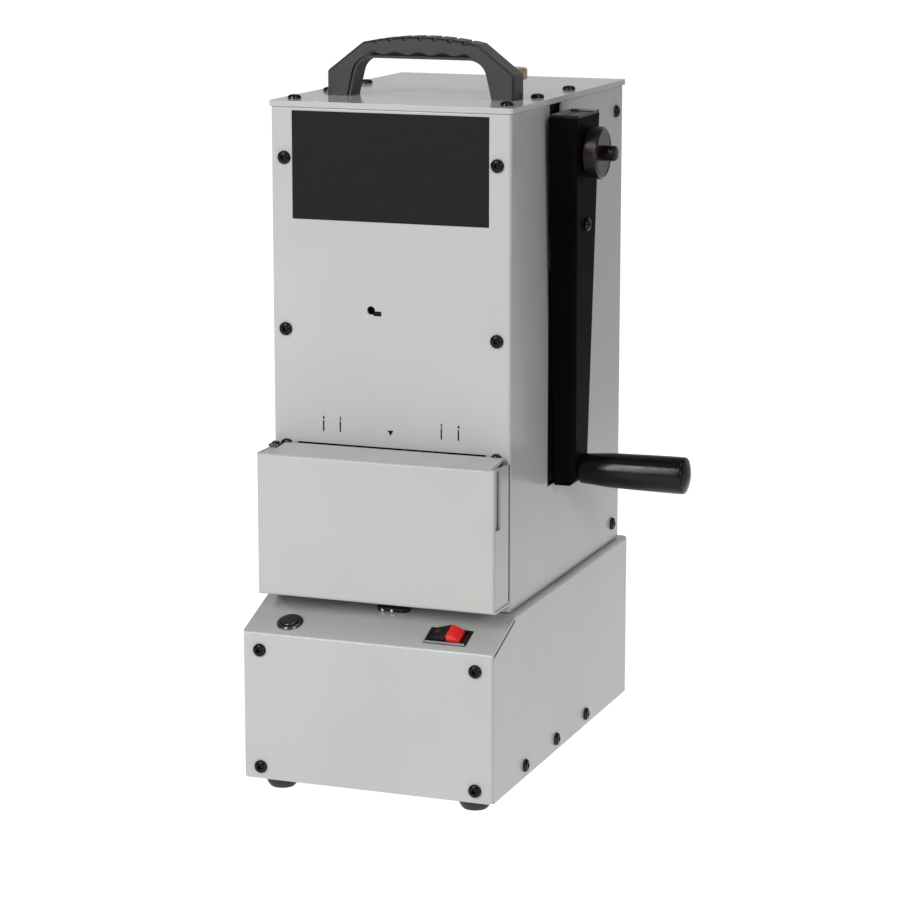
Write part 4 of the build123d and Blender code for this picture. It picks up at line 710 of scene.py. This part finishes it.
def screw_set(node):
    """One object holding a modelled head for each screw of a node."""
    body = nodes[node]["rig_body"]
    heads = []
    for number, (low, high) in enumerate(islands(node)):
        seat, normal = head_place(low, high)
        spin = Matrix.Rotation(radians(17 * number % 60), 4, "Z")
        turn = normal.to_track_quat("Z", "Y").to_matrix().to_4x4() @ spin
        heads.append(new_head(turn, seat))
    piece = settle(joined(heads), screw_steel, body, f"{node}_finish")
    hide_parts(node)
    print(node, len(heads), "heads")
    return piece


for screw_node in ("base_screws", "cabinet_screws", "top_screws"):
    screw_set(screw_node)

# %% [markdown]
# The lever's own screw sits on a web that leans a little, so its head is turned to the side and by the
# web's lean, in degrees.

# %% The lever's screw
WEB_LEAN = 1.03
lever_low, lever_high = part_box("crank_arm")
screw_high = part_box("lever_screw")[1]
lever_turn = Matrix.Rotation(radians(90 + WEB_LEAN), 4, "Y")
lever_seat = Vector((screw_high.x - HEAD_HEIGHT * MM, *middle("lever_screw")[1:]))
lever_head = new_head(lever_turn, lever_seat)
settle(lever_head, screw_steel, "crank", "lever_screw_finish")
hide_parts("lever_screw")
bpy.data.objects.remove(head_model)

# %% [markdown]
# ## The lever's lid
# The lever is a folded channel, and its upper end is closed by a thin plate that lies behind the front
# flange and over the web. It starts as a block. Its outer rear corner is rounded in edit mode to the radius
# of the fold, and a narrow bevel gives its rim the bright line that the photograph shows along the web.

# %% Model the lid
LID_THICK = 0.9
LID_PROUD = 0.4
LID_INSET = 0.25
LID_BEHIND = 3.2
LID_ROUND = 2.7
LID_CORNER = 1.0
LID_RIM = 0.3


def round_edges(piece, chosen, radius, segments):
    """Rounds the edges that a test picks by a radius in millimetres."""
    select_only(piece)
    bpy.context.scene.tool_settings.mesh_select_mode = (False, True, False)
    for edge in piece.data.edges:
        edge.select = chosen(*(piece.data.vertices[i].co for i in edge.vertices))
    bpy.ops.object.mode_set(mode="EDIT")
    bpy.ops.mesh.bevel(offset=radius * MM, segments=segments)
    bpy.ops.object.mode_set(mode="OBJECT")
    bpy.context.scene.tool_settings.mesh_select_mode = (True, False, False)


def outer_rear(start, end):
    """Whether an edge of the lid stands upright at its outer rear corner."""
    at_corner = start.x > lid_low.x + LID_CORNER * MM and start.y > lid_low.y + LID_CORNER * MM
    return at_corner and abs(start.z - end.z) > LID_THICK / 2 * MM


lid_high = lever_high + Vector((-LID_INSET, -LID_INSET, LID_PROUD)) * MM
lid_low = Vector((lever_low.x, lever_low.y + LID_BEHIND * MM, lid_high.z - LID_THICK * MM))
lever_lid = block(lid_low, lid_high)
round_edges(lever_lid, outer_rear, LID_ROUND, 6)
lid_rim = lever_lid.modifiers.new("rim", "BEVEL")
lid_rim.width = LID_RIM * MM
lid_rim.segments = 2
settle(lever_lid, black_satin, "crank", "lever_lid")

# %% [markdown]
# ## Crank grip
# The grip is a long smooth bar that swells towards its free end, with a rounded rim and a shallow dome. It
# is turned from rings whose radius follows an easy curve, so that its long highlight stays unbroken.

# %% Model the grip
grip_low, grip_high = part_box("crank_grip")
grip_length = (grip_high.x - grip_low.x) / MM
grip_end = (grip_high.z - grip_low.z) / 2 / MM
GRIP_ROOT = 10.9
GRIP_SWELL = 12.7
SWELL_AT = 0.4
GRIP_DOME = 2.2
GRIP_RIM = 2.5
swell_steps = 14
barrel = grip_length - GRIP_DOME - GRIP_RIM
rings = [(0, GRIP_ROOT - 0.8), (0.3, GRIP_ROOT - 0.2), (0.9, GRIP_ROOT)]
for step in range(1, swell_steps + 1):
    share = step / swell_steps
    if share <= SWELL_AT:
        radius = GRIP_ROOT + (GRIP_SWELL - GRIP_ROOT) * sin(share / SWELL_AT * pi / 2) ** 1.3
    else:
        radius = GRIP_SWELL + (grip_end - GRIP_SWELL) * sin((share - SWELL_AT) / (1 - SWELL_AT) * pi / 2)
    rings.append((0.9 + (barrel - 0.9) * share, radius))
rings += arc_rings((barrel, grip_end - GRIP_RIM), GRIP_RIM, 18, 78, 5)
dome_from = rings[-1]
for step in range(1, 7):
    share = step / 6.5
    height = grip_length - (grip_length - dome_from[0]) * (1 - share) ** 2
    rings.append((height, dome_from[1] * (1 - share)))
grip = turned("crank_grip_finish", rings, 72)
lay(grip, ALONG_X, Vector((grip_low.x, middle("crank_grip").y, middle("crank_grip").z)))
settle(grip, grip_phenolic, "crank_grip")
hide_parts("crank_grip")

# %% [markdown]
# ## Lock knob
# The knob is a thick disc whose rim is knurled so that fingers hold it. A diamond knurl is two sets of
# crossing grooves. Here the rim has many narrow bands, and every other vertex of the chequer they make is
# pushed out, which leaves small diamonds in relief.

# %% Model the knob
knob_low, knob_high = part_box("lock_knob")
knob_radius = (knob_high.z - knob_low.z) / 2 / MM
knob_length = (knob_high.x - knob_low.x) / MM
COLLAR_LENGTH = 0.7
COLLAR_RADIUS = 12.0
KNOB_CHAMFER = 1.4
KNURL_TEETH = 76
KNURL_ROWS = 12
KNURL_DEPTH = 0.28
FACE_RIM = 1.2
FACE_DISH = 0.35
FACE_HUB = 6.4
rim_from = COLLAR_LENGTH + KNOB_CHAMFER
rim_to = knob_length - KNOB_CHAMFER
core = knob_radius - KNURL_DEPTH
rings = [(0, COLLAR_RADIUS), (COLLAR_LENGTH, COLLAR_RADIUS),
         (COLLAR_LENGTH + 0.01, core - KNOB_CHAMFER), (rim_from, core)]
rings += [(rim_from + (rim_to - rim_from) * row / KNURL_ROWS, core) for row in range(1, KNURL_ROWS + 1)]
rings += [(knob_length, core - KNOB_CHAMFER), (knob_length - 0.01, core - KNOB_CHAMFER - FACE_RIM),
          (knob_length - FACE_DISH, core - KNOB_CHAMFER - FACE_RIM - 0.4),
          (knob_length - FACE_DISH, FACE_HUB)]
knob = turned("lock_knob_finish", rings, KNURL_TEETH * 2)
for vertex in knob.data.vertices:
    height = vertex.co.z / MM
    radius = sqrt(vertex.co.x**2 + vertex.co.y**2) / MM
    on_rim = abs(radius - core) < 0.01 and rim_from - 0.01 < height < rim_to + 0.01
    column = round(atan2(vertex.co.y, vertex.co.x) / tau * KNURL_TEETH * 2)
    row = round((height - rim_from) / (rim_to - rim_from) * KNURL_ROWS)
    if on_rim and (column + row) % 2 == 0:
        grow = knob_radius / radius
        vertex.co.x *= grow
        vertex.co.y *= grow
lay(knob, ALONG_X, Vector((knob_low.x, middle("lock_knob").y, middle("lock_knob").z)))
settle(knob, knob_steel, "lock_knob", smooth=20)
knob.data.materials.append(screw_steel)
knob.data.materials.append(face_steel)
knob_middle = middle("lock_knob")
for face in knob.data.polygons:
    from_axis = sqrt((face.center.y - knob_middle.y) ** 2 + (face.center.z - knob_middle.z) ** 2) / MM
    if face.center.x > knob_high.x - 0.5 * MM:
        face.material_index = 2 if from_axis < core - KNOB_CHAMFER - FACE_RIM - 0.1 else 1
    elif face.center.x > knob_high.x - KNOB_CHAMFER * MM and from_axis < core - 0.05:
        face.material_index = 1
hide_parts("lock_knob")

# %% [markdown]
# ## Crank shaft
# The shaft is a plain bar that steps down to a stud with a rounded end, the one part of it that shows.

# %% Model the shaft
shaft_low, shaft_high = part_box("crank_shaft")
shaft_length = (shaft_high.x - shaft_low.x) / MM
shaft_radius = (shaft_high.z - shaft_low.z) / 2 / MM
STUD_RADIUS = 5.5
step_at = (knob_low.x - shaft_low.x) / MM
nose = 1.6
rings = [(0, shaft_radius - 0.6), (0.6, shaft_radius), (step_at, shaft_radius), (step_at + 0.01, STUD_RADIUS)]
rings += arc_rings((shaft_length - nose, STUD_RADIUS - nose), nose, 0, 75, 5)
rings += [(shaft_length - 0.02, 2.6), (shaft_length, 1.2)]
shaft = turned("crank_shaft_finish", rings, 48)
lay(shaft, ALONG_X, Vector((shaft_low.x, middle("crank_shaft").y, middle("crank_shaft").z)))
settle(shaft, knob_steel, "crank")
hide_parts("crank_shaft")

# %% [markdown]
# ## Rubber feet
# A foot is a short rubber cone with a well for its screw. Its rings start at the top of the well, go down to
# the floor, out under the foot, and up its outside.

# %% Model the feet
FOOT_RADIUS = 12.0
FOOT_BULGE = 11.5
FOOT_WAIST = 9.2
FOOT_HEIGHT = 10.0
foot_boxes = islands("rubber_feet")
feet = []
for low, high in foot_boxes:
    rings = [(FOOT_HEIGHT - 1.5, 4.6), (0.6, 5.0), (0.0, 5.6), (0.0, FOOT_WAIST - 0.7), (0.7, FOOT_WAIST)]
    rings += [(2.2, FOOT_WAIST + 1.1), (4.6, FOOT_BULGE), (7.0, FOOT_RADIUS - 0.15),
              (FOOT_HEIGHT - 0.6, FOOT_RADIUS), (FOOT_HEIGHT, FOOT_RADIUS - 0.3)]
    foot = turned("foot", rings, 40)
    at = (low + high) / 2
    feet.append(lay(foot, ALONG_Z, Vector((at.x, at.y, 0))))
foot_set = settle(joined(feet), foot_rubber, "chassis", "rubber_feet_finish")
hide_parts("rubber_feet")

# %% [markdown]
# ## Oil filler
# Behind the handle stands a small filler: a bright plated ring on the lid and a brass cap over it on a thin
# neck. Both are turned, and the cap's rim has the rolled edge that a spun cap has.

# %% Model the filler
ring_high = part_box("oil_filler")[1]
cap_low, cap_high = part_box("oil_cap")
RING_RADIUS = 8.0
NECK_RADIUS = 4.5
filler_x, filler_y = middle("oil_cap").x, middle("oil_cap").y
ring_top = (ring_high.z - lid_z) / MM
rings = [(0, RING_RADIUS), (ring_top - 1.0, RING_RADIUS)]
rings += arc_rings((ring_top - 1.0, RING_RADIUS - 1.0), 1.0, 15, 90, 4)
rings += [(ring_top, 5.2), (ring_top - 3.0, 5.1)]
filler = turned("oil_filler_finish", rings, 48)
lay(filler, ALONG_Z, Vector((filler_x, filler_y, lid_z)))
settle(filler, ring_nickel, "chassis")
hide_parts("oil_filler")

cap_radius = (cap_high.x - cap_low.x) / 2 / MM
cap_top = (cap_high.z - lid_z) / MM
CAP_HEIGHT = 8.0
cap_floor = cap_top - CAP_HEIGHT
rings = [(cap_floor - 9.0, NECK_RADIUS), (cap_floor, NECK_RADIUS), (cap_floor + 0.01, cap_radius - 0.9)]
rings += arc_rings((cap_floor + 0.9, cap_radius - 0.9), 0.9, -70, 0, 4)
rings += arc_rings((cap_top - 1.3, cap_radius - 1.3), 1.3, 0, 80, 5)
rings += [(cap_top - 0.25, cap_radius - 2.6), (cap_top - 0.1, 3.0)]
cap = turned("oil_cap_finish", rings, 56)
lay(cap, ALONG_Z, Vector((filler_x, filler_y, lid_z)))
settle(cap, cap_brass, "oil_cap")
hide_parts("oil_cap")

# %% [markdown]
# ## Start button
# The start button is a vandal proof switch: a stainless bezel with a sloped lip, a thin dark gap, and a flat
# cap that stands just proud. It sits square to the base's slope, so it is turned upright, then tipped.

# %% Model the button
shell_slope = next(j for j in frame["joints"] if j["name"] == "start_press")
slope_normal = -Vector(shell_slope["axis"])
slope_tip = Matrix.Rotation(-atan2(slope_normal.y, slope_normal.z), 4, "X")
cap_middle = middle("button_cap")
BEZEL_RADIUS = 9.5
THREAD_RADIUS = 8.0
CAP_RADIUS = 6.2
CAP_LENGTH = 8.0
CAP_TOP = 2.9
button_seat = cap_middle + slope_normal * (CAP_LENGTH / 2 - CAP_TOP) * MM
rings = [(-3.4, THREAD_RADIUS), (0, THREAD_RADIUS), (0, BEZEL_RADIUS), (0.6, BEZEL_RADIUS)]
rings += [(1.4, BEZEL_RADIUS - 0.5), (1.9, BEZEL_RADIUS - 1.2), (2.0, BEZEL_RADIUS - 1.9),
          (1.8, CAP_RADIUS + 0.3), (-3.0, CAP_RADIUS + 0.14)]
bezel = turned("button_bezel_finish", rings, 72)
lay(bezel, slope_tip, button_seat)
settle(bezel, button_steel, "chassis")
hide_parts("button_bezel")
rings = [(CAP_TOP - 2.8, CAP_RADIUS), (CAP_TOP - 0.5, CAP_RADIUS)]
rings += arc_rings((CAP_TOP - 0.5, CAP_RADIUS - 0.5), 0.5, 20, 80, 3)
rings += [(CAP_TOP - 0.02, CAP_RADIUS - 1.2), (CAP_TOP - 0.1, 3.0)]
button = turned("button_cap_finish", rings, 64)
lay(button, slope_tip, button_seat)
settle(button, button_steel, "start_button")
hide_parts("button_cap")

# %% [markdown]
# ## The rocker's mark
# The rocker's black half carries one small mark, printed in a red that has gone dull: the ring that means
# off. It is text made a mesh. A ray cast down on the rocker finds the place and the slope to lay it on.

# %% Model the rocker's mark
RING_SIZE = 4.4
RING_FILM = 0.05
RING_STROKE = 0.1
RING_FROM_LEFT = 4.2
rocker_low, rocker_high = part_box("power_rocker")
rocker = bpy.data.objects["power_rocker_finish"]
above = Vector((rocker_low.x + RING_FROM_LEFT * MM, middle("power_rocker").y, rocker_high.z + 10 * MM))
found, ring_place, ring_normal = rocker.ray_cast(above, Vector((0, 0, -1)))[:3]
along = (Vector((1, 0, 0)) - ring_normal * ring_normal.x).normalized()
ring_turn = Matrix((along, ring_normal.cross(along), ring_normal)).transposed().to_4x4()
bpy.ops.object.select_all(action="DESELECT")
bpy.ops.object.text_add(location=(0, 0, 0))
ring = bpy.context.object
ring.data.body = "O"
ring.data.align_x = "CENTER"
ring.data.align_y = "CENTER"
ring.data.size = RING_SIZE * MM
ring.data.extrude = RING_FILM * MM
ring.data.offset = RING_STROKE * MM
bpy.ops.object.convert(target="MESH")
lay(ring, ring_turn, ring_place)
settle(ring, switch_ink, "power_rocker", "rocker_mark")
print("rocker mark on", [round(c / MM, 1) for c in ring_place], "found", found)

# %% [markdown]
# ## Carry handle
# The handle is one moulding: a bridge with a ribbed top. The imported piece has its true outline, so its
# dressed copy gets wider, rounder edges than the sheet metal has. The mould also leaves a shallow pocket
# with a wavy upper edge along the lower half of both faces. A strip of cells is bent into the wave, drawn
# out to a solid and taken away from the handle.

# %% Model the handle
WAVE_FROM, WAVE_TO = -42.0, 38.0
WAVE_LOW, WAVE_MEAN, WAVE_SWING = 29.0, 31.2, 1.3
WAVE_PERIOD = 17.6
WAVE_DEPTH = 0.22
WAVE_CELLS = 60
WAVE_END = 6.0


def wave_height(x):
    """The height of the pocket's wavy edge, in millimetres above the lid, sinking at both ends."""
    ripple = WAVE_MEAN + WAVE_SWING * cos((x + 36.0) / WAVE_PERIOD * tau)
    near_end = min(x - WAVE_FROM, WAVE_TO - x) / WAVE_END
    return WAVE_LOW + 0.2 + (ripple - WAVE_LOW - 0.2) * min(1.0, near_end) ** 0.5


def wave_tool(face_y, way):
    """A solid strip with a wavy top, standing across one face of the handle."""
    bpy.ops.object.select_all(action="DESELECT")
    bpy.ops.mesh.primitive_grid_add(x_subdivisions=WAVE_CELLS, y_subdivisions=1, size=1)
    tool = bpy.context.object
    bpy.ops.object.mode_set(mode="EDIT")
    bpy.ops.mesh.select_all(action="SELECT")
    bpy.ops.mesh.extrude_region_move(TRANSFORM_OT_translate={"value": (0, 0, 1)})
    bpy.ops.mesh.select_all(action="SELECT")
    bpy.ops.object.mode_set(mode="OBJECT")
    handle_x = middle("carry_handle").x
    for vertex in tool.data.vertices:
        x = WAVE_FROM + (WAVE_TO - WAVE_FROM) * (vertex.co.x + 0.5)
        z = wave_height(x) if vertex.co.y > 0 else WAVE_LOW
        y = face_y + way * (WAVE_DEPTH if vertex.co.z > 0.5 else -2.0) * MM
        vertex.co = Vector((handle_x + x * MM, y, lid_z + z * MM))
    select_only(tool)
    bpy.ops.object.mode_set(mode="EDIT")
    bpy.ops.mesh.select_all(action="SELECT")
    bpy.ops.mesh.normals_make_consistent(inside=False)
    bpy.ops.object.mode_set(mode="OBJECT")
    return tool


handle = dress("carry_handle", handle_nylon, 0.9, 3)
handle_low, handle_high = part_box("carry_handle")
for face_y, way in ((handle_low.y, 1), (handle_high.y, -1)):
    cut_away(handle, wave_tool(face_y, way))
soften(handle)

# %% [markdown]
# ## Printed marks
# The panel carries plain screen printed marks: two rules each side at three and four inches, with their
# numbers above, a small triangle on the middle line and one bar by the sight hole. They are ink, so each is
# a very thin raised film on the panel and not a colour in the paint, with its corners rounded.

# %% Model the marks
INK = 0.06
MARK_WIDTH = 0.9
MARK_LOW, MARK_TOP = 255.4, 263.0
INCH = 25.4
TRIANGLE = 4.2
DIGIT = 2.7
DIGIT_GAP = 0.8
DIGIT_STROKE = 0.09
MARK_ROUND = 0.28


def through_film(start, end):
    """Whether an edge goes through the film of ink, as a corner's does."""
    return abs(start.y - end.y) > INK / 2 * MM


def ink_box(x, z):
    """A thin film of ink between two X and two Z limits, in millimetres from the cabinet's middle."""
    film = block(
        Vector((centre_x + x[0] * MM, front_y - INK * MM, z[0] * MM)),
        Vector((centre_x + x[1] * MM, front_y, z[1] * MM)))
    round_edges(film, through_film, MARK_ROUND, 4)
    return film


def ink_digit(text, x, z):
    """A printed number standing on a height, made a mesh."""
    bpy.ops.object.select_all(action="DESELECT")
    bpy.ops.object.text_add(
        location=(centre_x + x * MM, front_y, z * MM), rotation=(radians(90), 0, 0))
    digit = bpy.context.object
    digit.data.body = text
    digit.data.align_x = "CENTER"
    digit.data.size = DIGIT * 1.35 * MM
    digit.data.extrude = INK / 2 * MM
    digit.data.offset = DIGIT_STROKE * MM
    bpy.ops.object.convert(target="MESH")
    digit.location.y -= INK / 2 * MM
    bpy.ops.object.transform_apply(location=True, rotation=True, scale=True)
    return digit


marks = []
for side in (-1, 1):
    for inches in (3, 4):
        x = side * inches * INCH / 2
        marks.append(ink_box((x - MARK_WIDTH / 2, x + MARK_WIDTH / 2), (MARK_LOW, MARK_TOP)))
        marks.append(ink_digit(str(inches), x, MARK_TOP + DIGIT_GAP))
bpy.ops.object.select_all(action="DESELECT")
bpy.ops.mesh.primitive_cylinder_add(
    vertices=3, radius=TRIANGLE / sqrt(3) * MM, depth=INK * MM,
    location=(centre_x, front_y - INK / 2 * MM, (MARK_LOW + TRIANGLE / sqrt(3)) * MM),
    rotation=(radians(90), radians(180), 0))
marks.append(bpy.context.object)
bpy.ops.object.transform_apply(location=True, rotation=True)
round_edges(marks[-1], through_film, MARK_ROUND, 4)
BAR = ((-12.5, -6.65), (339.7, 342.95))
marks.append(ink_box(*BAR))
settle(joined(marks), print_ink, "chassis", "printed_marks")

# %% [markdown]
# ## Floor and light
# The photograph is a cut-out on white. The light came from two soft sources at the front, not very high. The
# strong one stood on the left: it makes the front bright and every bent edge a bright line. The weak one
# stood on the right: it gives the right side its even grey and the lever's soft shadow, which falls back
# and down. The top is lit mostly by what it mirrors. A wide white floor, lit a little from within, fills
# the picture behind the machine, and its own light falls off on the right, past the machine, as a table's
# does beside a lit sweep. The room is dim but for a pale wall behind, which the satin lid mirrors.

# %% Floor
bpy.ops.object.select_all(action="DESELECT")
bpy.ops.mesh.primitive_plane_add(size=60, location=(0, 15, 0))
floor = bpy.context.object
floor.name = "studio_floor"
bpy.ops.object.transform_apply(location=True)
floor_material, floor_tree, floor_place = new_material("white_studio_floor")
floor_tone = add_node(floor_tree, "ShaderNodeTexNoise", {"Vector": floor_place, "Scale": per_mm(400.0)})
floor_colour = add_node(
    floor_tree, "ShaderNodeValToRGB", {"Fac": (floor_tone, "Fac")}, [(0.0, grey(0.44)), (1.0, grey(0.46))])
floor_spot = add_node(floor_tree, "ShaderNodeSeparateXYZ", {"Vector": floor_place})
floor_slant = add_node(
    floor_tree, "ShaderNodeVectorMath", {0: floor_place, 1: (1.0, 0.22, 0.0)}, operation="DOT_PRODUCT")
floor_behind = add_node(
    floor_tree, "ShaderNodeMapRange", {"Value": (floor_slant, "Value"), "From Min": 0.33, "From Max": 0.75})
floor_beside = add_node(
    floor_tree, "ShaderNodeMapRange", {"Value": (floor_spot, "X"), "From Min": 0.37, "From Max": 0.80})
floor_share = add_node(floor_tree, "ShaderNodeMath", {
    0: (floor_behind, "Result"), 1: (floor_beside, "Result")}, operation="MAXIMUM")
floor_glow = add_node(
    floor_tree, "ShaderNodeValToRGB", {"Fac": (floor_share, "Value")}, [(0.0, grey(1.0)), (1.0, grey(0.30))])
floor_shader = add_node(floor_tree, "ShaderNodeBsdfPrincipled", {
    "Base Color": (floor_colour, "Color"), "Roughness": 0.9, "Specular IOR Level": 0.0,
    "Emission Color": (floor_glow, "Color"), "Emission Strength": 0.9})
add_node(floor_tree, "ShaderNodeOutputMaterial", {"Surface": (floor_shader, "BSDF")})
floor.data.materials.append(floor_material)

# %% The room
bpy.context.scene.view_settings.view_transform = "Standard"
room = bpy.data.worlds.new("soft_room")
room.use_nodes = True
bpy.context.scene.world = room
room_tree = room.node_tree
room_tree.nodes.clear()
heading = add_node(room_tree, "ShaderNodeTexCoord")
parts_of_heading = add_node(room_tree, "ShaderNodeSeparateXYZ", {"Vector": (heading, "Generated")})
wall = add_node(room_tree, "ShaderNodeValToRGB", {"Fac": (parts_of_heading, "Y")}, [
    (0.72, grey(0.20)), (0.86, grey(0.62))])
room_light = add_node(room_tree, "ShaderNodeBackground", {"Color": (wall, "Color"), "Strength": 1.0})
add_node(room_tree, "ShaderNodeOutputWorld", {"Surface": (room_light, "Background")})

# %% Lights


def lamp(kind, name, place, aim, energy, **settings):
    """A lamp at a place that points at a target."""
    bpy.ops.object.select_all(action="DESELECT")
    bpy.ops.object.light_add(type=kind, location=place)
    made = bpy.context.object
    made.name = name
    made.data.energy = energy
    for setting, value in settings.items():
        setattr(made.data, setting, value)
    made.rotation_euler = (Vector(aim) - Vector(place)).to_track_quat("-Z", "Y").to_euler()
    return made


target = (centre_x, 0.0, 0.25)
# The key is a tall strip box on the left: each bent edge mirrors it as one thin bright line.
lamp(
    "AREA", "left_strip", (-0.96 + centre_x, -2.35, 1.62), target, 50.0,
    shape="RECTANGLE", size=0.3, size_y=2.0)
lamp("SUN", "right_fill", (1.5 + centre_x, -1.5, 1.11), target, 0.8, angle=radians(16))
lamp("AREA", "top_panel", (0.5, -0.2, 2.4), target, 5.0, size=0.7)

# %% Sizes and the last line
print("cad box", cad_box)
